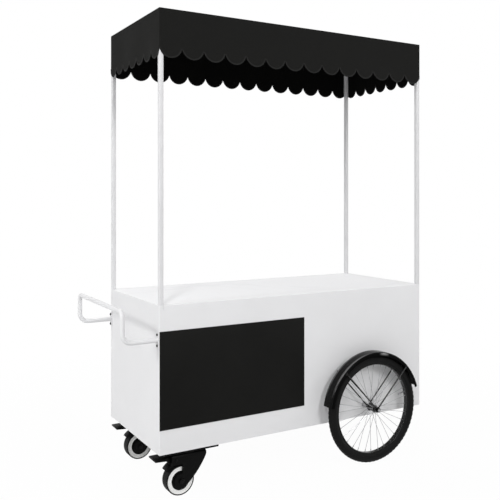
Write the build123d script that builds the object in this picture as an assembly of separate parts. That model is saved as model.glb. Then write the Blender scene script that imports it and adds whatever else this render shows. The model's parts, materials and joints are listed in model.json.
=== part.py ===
from build123d import *
import math
import os

# Driving dimensions of the cart, in millimetres
CABINET_LENGTH = 1400.0
CABINET_WIDTH = 592.0
CABINET_BOTTOM = 196.0
COUNTER_HEIGHT = 800.0
CANOPY_TOP = 2000.0
HANDLE_REACH = 163.0  # outer side of the push bar, out from the left end

# Stock that the cabinet and the canopy are made of
TUBE = 18.0
TUBE_WALL = 1.5
SHEET = 3.0
COUNTER_SLAB = 20.0
FLOOR_BOARD = 12.0
CLOTH = 1.2
SPIGOT_IN_POST = 80.0
SPIGOT_IN_POLE = 80.0

# Black panel on the front
SIGN_LENGTH = 702.0
SIGN_LOW = 295.0
SIGN_HIGH = 694.0
SIGN_THICKNESS = 1.5
SIGN_EDGE = 0.5  # bare edge left at the cabinet's corner

# Canopy valance
LOBES_LONG = 14
LOBES_SHORT = 7
VALANCE_DROP = 200.0
LOBE_DEPTH = 40.0

# Push handle
HANDLE_TUBE = 20.0
HANDLE_WALL = 1.5
HANDLE_LOW = 660.0
HANDLE_HIGH = 785.0
HANDLE_LOW_BEND = 38.0
HANDLE_HIGH_BEND = 24.0
FLANGE = 5.0
FLANGE_HEIGHT = 60.0
HANDLE_BOLT_PITCH = 44.0
HANDLE_BOLT = 6.0
HANDLE_BOLT_HEAD = (5.5, 4.0)  # radius and height

# Common to every bolted or turning fit
BOLT_PLAY = 0.2  # on the radius of a bolt hole
RUNNING = 0.05  # on the radius of a turning fit
END_PLAY = 0.4  # beside a turning hub
PAST = 1.0  # a cutter runs this far past a face
ACROSS_FLATS = {8.0: 13.0, 12.0: 19.0, 16.0: 24.0}  # hexagon by thread

# Bicycle wheels: 20 inch, laced radially
WHEEL_RADIUS = 250.0
WHEEL_FROM_LEFT = 1044.0
WHEEL_STANDOFF = 65.0  # wheel plane, out from the cabinet's face
TYRE_SECTION = 21.75
TYRE_WALL = 3.5
TYRE_OVER_RIM = 0.3
BEAD_INNER = 7.5
BEAD_OVERLAP = 1.3
BEAD_PLAY = 0.2
BEAD_SEAT = 206.5
RIM_EDGE = 212.5
RIM_INNER = 203.5
RIM_FLOOR = 205.3
RIM_HALF_WIDTH = 14.0
RIM_LIP = 2.5
RIM_FLAT = 7.0  # half width of the inner face
RIM_SHOULDER = (1.5, 1.0)  # out from the inner face, and in from the side
RIM_WELL = (6.5, 4.5)  # half widths at the bead seats and at the floor
TUBE_SECTION = 15.6
TUBE_SKIN = 1.6
SPOKES = 32
SPOKE = 2.0
NIPPLE = 4.0
NIPPLE_LENGTH = 13.0
SPOKE_PHASE = 9.0  # degrees above level, the first spoke at the right end
SPOKE_OFFSET = 2.0  # of the holes in the rim
FLANGE_RADIUS = 18.0
SPOKE_CIRCLE = 15.0
HUB_HALF = 30.0
FLANGE_AT = 15.0
HUB_FLANGE = 3.0
HUB_BARREL = 12.5
HUB_BORE = 9.0
AXLE_END = 12.0
AXLE_BAR = 20.0
AXLE_CLEAR = 1.0  # round the axle in the panels
BRACKET_HALF = 32.0
BRACKET_ABOVE = 26.0
LOCKNUT_RADIUS = 9.0
LOCKNUT_WIDTH = 3.0
WASHER_RADIUS = 12.0
WASHER_THICKNESS = 1.6
WHEEL_NUT = 8.0
AXLE_PAST_NUT = 3.0
BEARING_RADIUS = 10.5
BEARING_WIDTH = 5.0
BEARING_SUNK = 0.5
VALVE = (3.0, 28.0)  # radius, and reach in from the rim
VALVE_CAP = (3.8, 12.0)  # radius and length
VALVE_ANGLE = SPOKE_PHASE + 180 / SPOKES  # halfway between two spokes

# Mudguard and its stays
FENDER_RADIUS = 264.0
FENDER_HALF_WIDTH = 33.0
FENDER_LIP = 246.0
FENDER_SHOULDER = 9.0
FENDER_SHEET = 1.5
FENDER_FROM = 17.0  # degrees above level, at the right end
FENDER_TO = 171.0
STAY_ANGLES = (45.5, 133.5)
STAY = 6.5
STAY_EYE = 1.5
STAY_EYE_RADIUS = 9.5
STAY_TAB = (6.0, 2.0)  # radius and thickness
STAY_BOLT_RADIUS = 255.0
STAY_BOLT = 5.0
STAY_BOLT_HEAD = (4.5, 3.0)
STAY_BOLT_INSIDE = 3.0  # shank inside the skirt

# Casters: 5 inch wheel, with the swivel axis from the cabinet's left end and front face
CASTER_FROM_LEFT = 148.0
CASTER_INSET = 63.0
CASTER_TRAIL = 38.0
CASTER_RADIUS = 62.5
CASTER_WIDTH = 50.0
CASTER_TREAD = 5.0
CASTER_SHOULDER = 4.0
CORE_HALF = 23.0
COVER_RADIUS = 40.0
COVER_BORE = 10.0
FORK_GAP_HALF = 29.0
FORK_PLATE = 5.0
FORK_LEFT = -80.0
FORK_RIGHT = 77.0
FORK_TOP = 178.0
FORK_END_RADIUS = 31.0
FORK_SHOULDER = 132.0
FORK_NOTCH = 5.0  # behind the axle
FORK_CORNER = 158.0
FORK_BULGE = 8.0
FORK_ROUNDS = (10.0, 40.0)  # at the top of the right side, and at its corner
FORK_BEND = 18.0  # outer radius between crown and legs
PLATE_LENGTH = 240.0
PLATE_WIDTH = 124.0
PLATE = 8.0
RACE_RADIUS = 38.0
RACE_GAP = 0.3
KINGPIN = 16.0
KINGPIN_NUT = 8.5
KINGPIN_PAST_NUT = 2.0
CASTER_BOLT_X = 98.0
CASTER_BOLT_Y = 30.0
CASTER_BOLT = 8.0
CASTER_BOLT_HEAD = 5.3
CASTER_BOLT_LENGTH = 14.0  # above the cabinet's underside
AXLE_HEAD = 7.0
AXLE_NUT = 9.0
CASTER_BEARING = (16.0, 10.0)  # radius and width
SPACER_RADIUS = 9.0
SEAT_PLAY = 0.02  # on the radius of a bearing seat
CASTER_AXLE = Vector(-CASTER_TRAIL, CASTER_RADIUS)  # X and Z from the swivel axis and the ground
PEDAL_PIVOT = Vector(-60.0, 152.0)
PEDAL_ARM = [(-52.0, 146.0), (-52.0, 160.0), (-104.0, 166.5), (-104.0, 157.0)]
PEDAL_FOOT = [(-103.0, 166.5), (-154.0, 166.0), (-154.0, 160.0), (-103.0, 157.0)]
PEDAL_PIN = 6.0
PEDAL_PIN_HEAD = (5.0, 2.5)
PEDAL_TRAVEL = 10.0  # degrees, from up to braking
PEDAL_ARM_HALF = 20.0
PEDAL_FOOT_HALF = 36.0
SHOE_ANGLES = (112.0, 143.0)  # round the axle, pedal down
SHOE_BACK = 80.0  # radius of the shoe's outer side, pedal up
SHOE_BACK_FROM = 121.0
SHOE_PLAY = 0.3  # shoe to tread, pedal down

# Doors on the vendor's side
DOOR_BOARD = 15.0
DOOR_GAP = 3.0
DOOR_STOP_GAP = 0.5
HINGE_HEIGHTS = (300.0, 680.0)
KNUCKLE = 3.5
HINGE_PIN = 1.5
LEAF = 2.0
LEAF_WIDTH = 28.0
HINGE_HALF = 30.0
HINGE_MIDDLE = 10.0  # half height of the middle knuckle
KNOB_HEIGHT = 500.0
KNOB_FROM_EDGE = 45.0
KNOB_STEM = (7.0, 14.0)  # radius and length
KNOB_GRIP = (15.0, 14.0)
KNOB_SUNK = 2.0  # end of the stem inside the grip
KNOB_ROUND = 4.0

# Places that follow from the driving dimensions; the origin is under the middle of the whole cart
LEFT = (HANDLE_REACH - CLOTH - CABINET_LENGTH) / 2
RIGHT = LEFT + CABINET_LENGTH
FRONT = -CABINET_WIDTH / 2
BACK = CABINET_WIDTH / 2
COUNTER_UNDER = COUNTER_HEIGHT - COUNTER_SLAB
LOW_RAIL = (CABINET_BOTTOM, CABINET_BOTTOM + TUBE)
HIGH_RAIL = (COUNTER_UNDER - TUBE, COUNTER_UNDER)
BETWEEN_RAILS = (LOW_RAIL[1], HIGH_RAIL[0])
PANEL_Z = (CABINET_BOTTOM, COUNTER_UNDER)
RAIL_TOP = CANOPY_TOP - CLOTH
RAIL_UNDER = RAIL_TOP - TUBE
LOBE_LOW = CANOPY_TOP - VALANCE_DROP
CUSP = LOBE_LOW + LOBE_DEPTH
JAMB_LEFT = LEFT + SHEET + 2 * TUBE
JAMB_RIGHT = JAMB_LEFT + SIGN_LENGTH - 2 * (SHEET + TUBE)
HANDLE_Y = (CABINET_WIDTH - HANDLE_TUBE) / 2
WHEEL_X = LEFT + WHEEL_FROM_LEFT
WHEEL_Y = CABINET_WIDTH / 2 + WHEEL_STANDOFF
SWIVEL_X = LEFT + CASTER_FROM_LEFT
CASTER_Y = CABINET_WIDTH / 2 - CASTER_INSET
PLATE_UNDER = CABINET_BOTTOM - PLATE
CROWN_UNDER = FORK_TOP - FORK_PLATE
FORK_OUTER = FORK_GAP_HALF + FORK_PLATE
AT_CASTER_AXLE = Pos(CASTER_AXLE.X, 0, CASTER_AXLE.Y)
RACE_SPLIT = (FORK_TOP + PLATE_UNDER) / 2

# Stack along the axle, out from the wheel plane
LOCKNUT = (HUB_HALF + END_PLAY, HUB_HALF + END_PLAY + LOCKNUT_WIDTH)
EYES = [(LOCKNUT[1] + k * STAY_EYE, LOCKNUT[1] + (k + 1) * STAY_EYE) for k in range(len(STAY_ANGLES))]
WASHER = (EYES[-1][1], EYES[-1][1] + WASHER_THICKNESS)
NUT = (WASHER[1], WASHER[1] + WHEEL_NUT)
AXLE_TIP = NUT[1] + AXLE_PAST_NUT

SIDES = {"front": -1, "back": 1}


def block(x, y, z):
    """A box between a low and a high limit on each axis."""
    spans = [high - low for low, high in (x, y, z)]
    middle = [(low + high) / 2 for low, high in (x, y, z)]
    return Pos(*middle) * Box(*spans)


def inset(limits, amount):
    return (limits[0] + amount, limits[1] - amount)


def around(middle, half):
    return (middle - half, middle + half)


def square_tube(x, y, z, along):
    """A square tube that fills the limits, open at both ends along one axis."""
    limits = {"x": x, "y": y, "z": z}
    bore = {axis: span if axis == along else inset(span, TUBE_WALL) for axis, span in limits.items()}
    return block(x, y, z) - block(bore["x"], bore["y"], bore["z"])


def rod(start, end, radius):
    """A round bar from one point to another."""
    start, end = Vector(*start), Vector(*end)
    line = end - start
    bar = Cylinder(radius, line.length, align=(Align.CENTER, Align.CENTER, Align.MIN))
    return Plane(origin=start, z_dir=line) * bar


def ring_y(inner, outer, y):
    """A ring about the Y axis between two radii and two Y limits."""
    section = Pos((inner + outer) / 2, (y[0] + y[1]) / 2) * Rectangle(outer - inner, y[1] - y[0])
    return revolve(section, Axis.Y)


def ring_z(inner, outer, z):
    """A ring about the Z axis between two radii and two heights."""
    return rod((0, 0, z[0]), (0, 0, z[1]), outer) - rod((0, 0, z[0]), (0, 0, z[1]), inner)


def arch(low, high, half_width, shoulder):
    """Half section of a wheel: a band between two radii, with round shoulders on its outer side."""
    flat = Pos((low + high) / 2, 0) * Rectangle(high - low, 2 * half_width)
    return fillet(flat.vertices().group_by(Axis.X)[-1], shoulder)


def hexagon(start, direction, across_flats, length, bore=0.0):
    """A hexagon bar, or a nut where it has a bore."""
    outline = RegularPolygon(across_flats / 2, 6, major_radius=False)
    if bore:
        outline = outline - Circle(bore)
    return extrude(Plane(origin=start, z_dir=direction) * outline, length)


def plate(outline, origin, outward, thickness):
    """An upright outline, drawn sideways and up, given a thickness towards one side."""
    outward = Vector(*outward)
    plane = Plane(origin=origin, x_dir=Vector(0, 0, 1).cross(outward), z_dir=outward)
    return extrude(plane * outline, amount=thickness, dir=outward)


def both_ways(limits):
    """The same pair of limits on both sides of the wheel plane."""
    return [limits, (-limits[1], -limits[0])]


def handle_bolt_places():
    """Y and Z of the bolts that hold the push handle."""
    heights = around(HANDLE_LOW, HANDLE_BOLT_PITCH / 2)
    return [(side * HANDLE_Y, height) for side in SIDES.values() for height in heights]


def caster_bolt_places():
    """X and Y of the bolts that hold the caster plates."""
    return [
        (SWIVEL_X + x, side * CASTER_Y + y)
        for side in SIDES.values()
        for x in (-CASTER_BOLT_X, CASTER_BOLT_X)
        for y in (-CASTER_BOLT_Y, CASTER_BOLT_Y)
    ]


def corner_limits():
    """X and Y limits of the square tube at each corner of the cart."""
    xs = {"left": (LEFT, LEFT + TUBE), "right": (RIGHT - TUBE, RIGHT)}
    ys = {"front": (FRONT, FRONT + TUBE), "back": (BACK - TUBE, BACK)}
    return {f"{y}_{x}": (xs[x], ys[y]) for y in ys for x in xs}


def mirrored_y(limits, side):
    """Limits given inwards from a long face, as Y limits on that side of the cart."""
    ends = [side * (CABINET_WIDTH / 2 - depth) for depth in limits]
    return (min(ends), max(ends))


# Cabinet


def cabinet_frame():
    behind = (SHEET, SHEET + TUBE)
    ends = [(LEFT + SHEET, LEFT + SHEET + TUBE), (RIGHT - SHEET - TUBE, RIGHT - SHEET)]
    across = (FRONT + SHEET + TUBE, BACK - SHEET - TUBE)
    bars = []
    for x, y in corner_limits().values():
        post = square_tube(x, y, PANEL_Z, "z")
        for bolt_y, bolt_z in handle_bolt_places():
            start = (LEFT - PAST, bolt_y, bolt_z)
            end = (LEFT + TUBE_WALL + PAST, bolt_y, bolt_z)
            post -= rod(start, end, HANDLE_BOLT / 2 + BOLT_PLAY)
        bars.append(post)
        spigot = (COUNTER_UNDER - SPIGOT_IN_POST, COUNTER_UNDER + SPIGOT_IN_POLE)
        bars.append(block(inset(x, TUBE_WALL), inset(y, TUBE_WALL), spigot))
    for side in SIDES.values():
        y = mirrored_y(behind, side)
        for z in (LOW_RAIL, HIGH_RAIL):
            bars.append(square_tube((LEFT + TUBE, RIGHT - TUBE), y, z, "x"))
        bars.append(square_tube((JAMB_LEFT - TUBE, JAMB_LEFT), y, BETWEEN_RAILS, "z"))
        bars.append(square_tube((JAMB_RIGHT, JAMB_RIGHT + TUBE), y, BETWEEN_RAILS, "z"))
    for x in ends:
        for z in (LOW_RAIL, HIGH_RAIL):
            bars.append(square_tube(x, across, z, "y"))
    caster_bearers = (SWIVEL_X - CASTER_BOLT_X, SWIVEL_X + CASTER_BOLT_X)
    for x in (*caster_bearers, JAMB_RIGHT + TUBE / 2, WHEEL_X):
        bearer = square_tube(around(x, TUBE / 2), across, LOW_RAIL, "y")
        for bolt_x, bolt_y in caster_bolt_places():
            start = (bolt_x, bolt_y, CABINET_BOTTOM - PAST)
            end = (bolt_x, bolt_y, CABINET_BOTTOM + TUBE_WALL + PAST)
            bearer -= rod(start, end, CASTER_BOLT / 2 + BOLT_PLAY)
        bars.append(bearer)
    stop_back = BACK - DOOR_BOARD - DOOR_STOP_GAP
    stop_z = (HIGH_RAIL[0] - TUBE, HIGH_RAIL[0])
    bars.append(square_tube((JAMB_LEFT, JAMB_RIGHT), (stop_back - TUBE, stop_back), stop_z, "x"))
    return bars


def floor_panel():
    edge = SHEET + TUBE
    top = LOW_RAIL[1]
    return block((LEFT + edge, RIGHT - edge), (FRONT + edge, BACK - edge), (top, top + FLOOR_BOARD))


def long_panel(side):
    """A sheet between the corner posts on the front or the back, with a hole for the axle."""
    y = mirrored_y((0, SHEET), side)
    sheet = block((LEFT + TUBE, RIGHT - TUBE), y, PANEL_Z)
    near, far = mirrored_y((-PAST, SHEET + PAST), side)
    hole = AXLE_BAR / 2 + AXLE_CLEAR
    return sheet - rod((WHEEL_X, near, WHEEL_RADIUS), (WHEEL_X, far, WHEEL_RADIUS), hole)


def back_panel():
    doorway = block((JAMB_LEFT, JAMB_RIGHT), (BACK - SHEET - PAST, BACK + PAST), BETWEEN_RAILS)
    return long_panel(SIDES["back"]) - doorway


def end_panel(x):
    return block(x, (FRONT + TUBE, BACK - TUBE), PANEL_Z)


def sign_panel():
    length = (LEFT + SIGN_EDGE, LEFT + SIGN_EDGE + SIGN_LENGTH)
    return block(length, (FRONT - SIGN_THICKNESS, FRONT), (SIGN_LOW, SIGN_HIGH))


def counter_top():
    slab = block((LEFT, RIGHT), (FRONT, BACK), (COUNTER_UNDER, COUNTER_HEIGHT))
    for x, y in corner_limits().values():
        notch = (COUNTER_UNDER - PAST, COUNTER_HEIGHT + PAST)
        slab -= block(inset(x, -BOLT_PLAY), inset(y, -BOLT_PLAY), notch)
    return slab


# Poles and canopy


def pole(corner):
    x, y = corner_limits()[corner]
    return square_tube(x, y, (COUNTER_UNDER, RAIL_UNDER), "z")


def canopy_frame():
    rail = (RAIL_UNDER, RAIL_TOP)
    bars = [square_tube((LEFT, RIGHT), mirrored_y((0, TUBE), side), rail, "x") for side in SIDES.values()]
    between = (FRONT + TUBE, BACK - TUBE)
    thirds = [LEFT + TUBE / 2 + (CABINET_LENGTH - TUBE) * k / 3 for k in range(4)]
    bars += [square_tube(around(x, TUBE / 2), between, rail, "y") for x in thirds]
    spigot = (RAIL_UNDER - SPIGOT_IN_POLE, RAIL_UNDER)
    for x, y in corner_limits().values():
        bars.append(block(inset(x, TUBE_WALL), inset(y, TUBE_WALL), spigot))
    return bars


def scalloped(length, lobes):
    """The outline of one side of the valance, with round lobes along its lower edge."""
    cusps = [-length / 2 + length * k / lobes for k in range(lobes + 1)]
    first, last = cusps[0], cusps[-1]
    edges = [
        Line((first, CUSP), (first, RAIL_TOP)),
        Line((first, RAIL_TOP), (last, RAIL_TOP)),
        Line((last, RAIL_TOP), (last, CUSP)),
    ]
    for a, b in zip(cusps, cusps[1:]):
        edges.append(ThreePointArc((a, CUSP), ((a + b) / 2, LOBE_LOW), (b, CUSP)))
    return make_face(edges)


def canopy_cover():
    middle = (LEFT + RIGHT) / 2
    panels = [block((LEFT - CLOTH, RIGHT + CLOTH), (FRONT - CLOTH, BACK + CLOTH), (RAIL_TOP, CANOPY_TOP))]
    long_side = scalloped(CABINET_LENGTH + 2 * CLOTH, LOBES_LONG)
    for side in SIDES.values():
        panels.append(plate(long_side, (middle, side * CABINET_WIDTH / 2, 0), (0, side, 0), CLOTH))
    short_side = scalloped(CABINET_WIDTH, LOBES_SHORT)
    panels.append(plate(short_side, (LEFT, 0, 0), (-1, 0, 0), CLOTH))
    panels.append(plate(short_side, (RIGHT, 0, 0), (1, 0, 0), CLOTH))
    return panels


# Push handle


def push_handle():
    root_x = LEFT - FLANGE
    bar_x = LEFT - HANDLE_REACH + HANDLE_TUBE / 2
    near, far = -HANDLE_Y, HANDLE_Y
    path = FilletPolyline(
        (root_x, near, HANDLE_LOW),
        (bar_x, near, HANDLE_LOW),
        (bar_x, near, HANDLE_HIGH),
        (bar_x, far, HANDLE_HIGH),
        (bar_x, far, HANDLE_LOW),
        (root_x, far, HANDLE_LOW),
        radius=[HANDLE_LOW_BEND, HANDLE_HIGH_BEND, HANDLE_HIGH_BEND, HANDLE_LOW_BEND],
    )
    section = Circle(HANDLE_TUBE / 2) - Circle(HANDLE_TUBE / 2 - HANDLE_WALL)
    pieces = [sweep(Plane(origin=path @ 0, z_dir=path % 0) * section, path)]
    for y in (near, far):
        flange = block((root_x, LEFT), around(y, HANDLE_TUBE / 2), around(HANDLE_LOW, FLANGE_HEIGHT / 2))
        for bolt_y, bolt_z in handle_bolt_places():
            start = (root_x - PAST, bolt_y, bolt_z)
            flange -= rod(start, (LEFT + PAST, bolt_y, bolt_z), HANDLE_BOLT / 2 + BOLT_PLAY)
        pieces.append(flange)
    return pieces


def handle_bolts():
    root_x = LEFT - FLANGE
    radius, height = HANDLE_BOLT_HEAD
    bolts = []
    for y, z in handle_bolt_places():
        head = rod((root_x - height, y, z), (root_x, y, z), radius)
        shank = rod((root_x, y, z), (LEFT + TUBE / 2, y, z), HANDLE_BOLT / 2)
        bolts.append(head + shank)
    return bolts


# Axle, wheels and mudguards


def cross_axle():
    bar = WHEEL_Y - WASHER[0]
    tip = WHEEL_Y + AXLE_TIP
    axle = rod((0, -tip, 0), (0, tip, 0), AXLE_END / 2) + rod((0, -bar, 0), (0, bar, 0), AXLE_BAR / 2)
    return Pos(WHEEL_X, 0, WHEEL_RADIUS) * axle


def axle_brackets():
    blocks = []
    for side in SIDES.values():
        y = mirrored_y((SHEET, SHEET + TUBE), side)
        body = block(around(WHEEL_X, BRACKET_HALF), y, (LOW_RAIL[1], WHEEL_RADIUS + BRACKET_ABOVE))
        near, far = inset(y, -PAST)
        bore = rod((WHEEL_X, near, WHEEL_RADIUS), (WHEEL_X, far, WHEEL_RADIUS), AXLE_BAR / 2 + RUNNING)
        blocks.append(body - bore)
    return blocks


def axle_nuts():
    """Locknuts at both ends of each hub, and a washer and a nut on each axle tip."""
    bore = AXLE_END / 2 + RUNNING
    pieces = []
    for side in SIDES.values():
        place = Pos(WHEEL_X, side * WHEEL_Y, WHEEL_RADIUS)
        pieces += [place * ring_y(bore, LOCKNUT_RADIUS, y) for y in both_ways(LOCKNUT)]
        outer = WASHER if side > 0 else (-WASHER[1], -WASHER[0])
        pieces.append(place * ring_y(bore, WASHER_RADIUS, outer))
        nut = hexagon((0, side * NUT[0], 0), (0, side, 0), ACROSS_FLATS[AXLE_END], NUT[1] - NUT[0], bore)
        pieces.append(place * nut)
    return pieces


def tyre():
    middle = WHEEL_RADIUS - TYRE_SECTION
    shell = Pos(middle, 0) * (Circle(TYRE_SECTION) - Circle(TYRE_SECTION - TYRE_WALL))
    wide = 4 * TYRE_SECTION
    cut_at = RIM_EDGE + TYRE_OVER_RIM
    section = shell - Pos(cut_at - wide / 2, 0) * Rectangle(wide, wide)
    bead_r = (BEAD_SEAT + BEAD_PLAY, cut_at + BEAD_OVERLAP)
    for y in both_ways((BEAD_INNER, RIM_HALF_WIDTH - RIM_LIP - BEAD_PLAY)):
        bead = Pos(sum(bead_r) / 2, sum(y) / 2) * Rectangle(bead_r[1] - bead_r[0], y[1] - y[0])
        section = section + bead
    return revolve(section, Axis.Y)


def inner_tube():
    middle = WHEEL_RADIUS - TYRE_SECTION
    skin = revolve(Pos(middle, 0) * (Circle(TUBE_SECTION) - Circle(TUBE_SECTION - TUBE_SKIN)), Axis.Y)
    stem_radius, stem_reach = VALVE
    cap_radius, cap_length = VALVE_CAP
    stem_end = RIM_INNER - stem_reach
    valve = rod((middle - TUBE_SECTION, 0, 0), (stem_end, 0, 0), stem_radius)
    cap = rod((stem_end, 0, 0), (stem_end - cap_length, 0, 0), cap_radius)
    return [skin, Rot(0, -VALVE_ANGLE, 0) * (valve + cap)]


def rim():
    edge = RIM_HALF_WIDTH
    lip = RIM_HALF_WIDTH - RIM_LIP
    half = [
        (RIM_INNER, 0), (RIM_INNER, RIM_FLAT), (RIM_INNER + RIM_SHOULDER[0], edge - RIM_SHOULDER[1]),
        (RIM_EDGE, edge), (RIM_EDGE, lip), (BEAD_SEAT, lip), (BEAD_SEAT, RIM_WELL[0]),
        (RIM_FLOOR, RIM_WELL[1]), (RIM_FLOOR, 0),
    ]
    outline = half + [(r, -y) for r, y in reversed(half[1:-1])]
    ring = revolve(make_face(Polyline(*outline, close=True)), Axis.Y)
    hole = rod((RIM_INNER - PAST, 0, 0), (RIM_EDGE, 0, 0), VALVE[0] + AXLE_CLEAR)
    return ring - Rot(0, -VALVE_ANGLE, 0) * hole


def spokes():
    """Straight spokes from both hub flanges to the rim by turns, each with its nipple."""
    hub_y = FLANGE_AT + HUB_FLANGE / 2 + SPOKE / 2
    reach = (RIM_INNER + RIM_FLOOR) / 2
    made = []
    for k in range(SPOKES):
        side = 1 if k % 2 else -1
        hub_end = Vector(SPOKE_CIRCLE, side * hub_y, 0)
        rim_end = Vector(reach, side * SPOKE_OFFSET, 0)
        collar = rim_end - (rim_end - hub_end).normalized() * NIPPLE_LENGTH
        spoke = rod(hub_end, rim_end, SPOKE / 2) + rod(collar, rim_end, NIPPLE / 2)
        made.append(Rot(0, -SPOKE_PHASE - k * 360 / SPOKES, 0) * spoke)
    return made


def hub():
    seat = BEARING_RADIUS + SEAT_PLAY
    shell = rod((0, -HUB_HALF, 0), (0, HUB_HALF, 0), HUB_BARREL)
    for y in (-FLANGE_AT, FLANGE_AT):
        shell += rod((0, y - HUB_FLANGE / 2, 0), (0, y + HUB_FLANGE / 2, 0), FLANGE_RADIUS)
    shell -= rod((0, -HUB_HALF, 0), (0, HUB_HALF, 0), HUB_BORE)
    for y in both_ways((HUB_HALF - BEARING_SUNK - BEARING_WIDTH, HUB_HALF)):
        shell -= rod((0, y[0], 0), (0, y[1], 0), seat)
    return shell


def hub_bearings():
    outer = HUB_HALF - BEARING_SUNK
    places = both_ways((outer - BEARING_WIDTH, outer))
    return [ring_y(AXLE_END / 2 + RUNNING, BEARING_RADIUS, y) for y in places]


def fender():
    """A mudguard with a flat crown, round shoulders and straight skirts, swept round the wheel."""
    outer = arch(FENDER_LIP, FENDER_RADIUS, FENDER_HALF_WIDTH, FENDER_SHOULDER)
    inner = arch(FENDER_LIP - PAST, FENDER_RADIUS - FENDER_SHEET, FENDER_HALF_WIDTH - FENDER_SHEET,
                 FENDER_SHOULDER - FENDER_SHEET)
    upwards = Axis((0, 0, 0), (0, -1, 0))
    sheet = Rot(0, -FENDER_FROM, 0) * revolve(outer - inner, upwards, FENDER_TO - FENDER_FROM)
    reach = FENDER_HALF_WIDTH + PAST
    for angle in STAY_ANGLES:
        hole = rod((STAY_BOLT_RADIUS, -reach, 0), (STAY_BOLT_RADIUS, reach, 0), STAY_BOLT / 2 + BOLT_PLAY)
        sheet -= Rot(0, -angle, 0) * hole
    return sheet


def fender_stays():
    """Stay rods from both ends of the axle to both skirts of the mudguard."""
    tab_radius, tab_thickness = STAY_TAB
    tab_y = (FENDER_HALF_WIDTH, FENDER_HALF_WIDTH + tab_thickness)
    tail = (STAY_EYE_RADIUS - STAY_EYE, WASHER_RADIUS + STAY)
    made = []
    for angle, eye in zip(STAY_ANGLES, EYES):
        stay = ring_y(AXLE_END / 2 + BOLT_PLAY, STAY_EYE_RADIUS, eye)
        stay += block(tail, eye, around(0, STAY / 2))
        leg_start = (WASHER_RADIUS + PAST, sum(eye) / 2, 0)
        leg_end = (STAY_BOLT_RADIUS - tab_radius, tab_y[0] + STAY / 2, 0)
        stay += rod(leg_start, leg_end, STAY / 2)
        stay += rod((STAY_BOLT_RADIUS, tab_y[0], 0), (STAY_BOLT_RADIUS, tab_y[1], 0), tab_radius)
        near, far = inset(tab_y, -PAST)
        stay -= rod((STAY_BOLT_RADIUS, near, 0), (STAY_BOLT_RADIUS, far, 0), STAY_BOLT / 2 + BOLT_PLAY)
        made += [Rot(0, -angle, 0) * piece for piece in (stay, mirror(stay, Plane.XZ))]
    return made


def fender_bolts():
    radius, height = STAY_BOLT_HEAD
    under = FENDER_HALF_WIDTH + STAY_TAB[1]
    inside = FENDER_HALF_WIDTH - FENDER_SHEET - STAY_BOLT_INSIDE
    made = []
    for side in SIDES.values():
        place = Pos(WHEEL_X, side * WHEEL_Y, WHEEL_RADIUS)
        for angle in STAY_ANGLES:
            for way in (-1, 1):
                tip, seat, top = [(STAY_BOLT_RADIUS, way * y, 0) for y in (inside, under, under + height)]
                bolt = rod(seat, top, radius) + rod(tip, seat, STAY_BOLT / 2)
                made.append(place * Rot(0, -angle, 0) * bolt)
    return made


# Casters, drawn with the swivel axis on the Z axis and the wheel's mid plane at Y 0


def caster_plates():
    made = []
    for side in SIDES.values():
        place = Pos(SWIVEL_X, side * CASTER_Y, 0)
        top = block(around(0, PLATE_LENGTH / 2), around(0, PLATE_WIDTH / 2), (PLATE_UNDER, CABINET_BOTTOM))
        for x in (-CASTER_BOLT_X, CASTER_BOLT_X):
            for y in (-CASTER_BOLT_Y, CASTER_BOLT_Y):
                start, end = (x, y, PLATE_UNDER - PAST), (x, y, CABINET_BOTTOM + PAST)
                top -= rod(start, end, CASTER_BOLT / 2 + BOLT_PLAY)
        race = ring_z(KINGPIN / 2, RACE_RADIUS, (RACE_SPLIT + RACE_GAP, PLATE_UNDER))
        nut_low = CROWN_UNDER - END_PLAY - KINGPIN_NUT
        pin = rod((0, 0, nut_low - KINGPIN_PAST_NUT), (0, 0, PLATE_UNDER), KINGPIN / 2)
        nut = hexagon((0, 0, nut_low), (0, 0, 1), ACROSS_FLATS[KINGPIN], KINGPIN_NUT, KINGPIN / 2)
        made += [place * piece for piece in (top, race, pin, nut)]
    return made


def caster_bolts():
    made = []
    for x, y in caster_bolt_places():
        under = (x, y, PLATE_UNDER - CASTER_BOLT_HEAD)
        head = hexagon(under, (0, 0, 1), ACROSS_FLATS[CASTER_BOLT], CASTER_BOLT_HEAD)
        shank = rod((x, y, PLATE_UNDER), (x, y, CABINET_BOTTOM + CASTER_BOLT_LENGTH), CASTER_BOLT / 2)
        made.append(head + shank)
    return made


def fork_leg():
    """Side view of a fork leg: wide under the crown, then narrowing down to a round end at the axle."""
    corner = Vector(FORK_RIGHT, FORK_CORNER)
    line = corner - CASTER_AXLE
    aim = math.atan2(line.Y, line.X) - math.acos(FORK_END_RADIUS / line.length)
    outward = Vector(math.cos(aim), math.sin(aim))
    touch = CASTER_AXLE + outward * FORK_END_RADIUS
    bulge = (corner + touch) / 2 + outward * FORK_BULGE
    notch_x = CASTER_AXLE.X + FORK_NOTCH
    points = [
        touch, CASTER_AXLE, (notch_x, CASTER_AXLE.Y), (notch_x, FORK_SHOULDER),
        (FORK_LEFT, FORK_SHOULDER), (FORK_LEFT, FORK_TOP), (FORK_RIGHT, FORK_TOP), corner,
    ]
    edges = [Line(a, b) for a, b in zip(points, points[1:])] + [ThreePointArc(corner, bulge, touch)]
    leg = make_face(edges)
    for height, radius in zip((FORK_TOP, FORK_CORNER), FORK_ROUNDS):
        leg = fillet(leg.vertices().sort_by_distance((FORK_RIGHT, height))[0], radius)
    return leg + Pos(CASTER_AXLE) * Circle(FORK_END_RADIUS)


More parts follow.
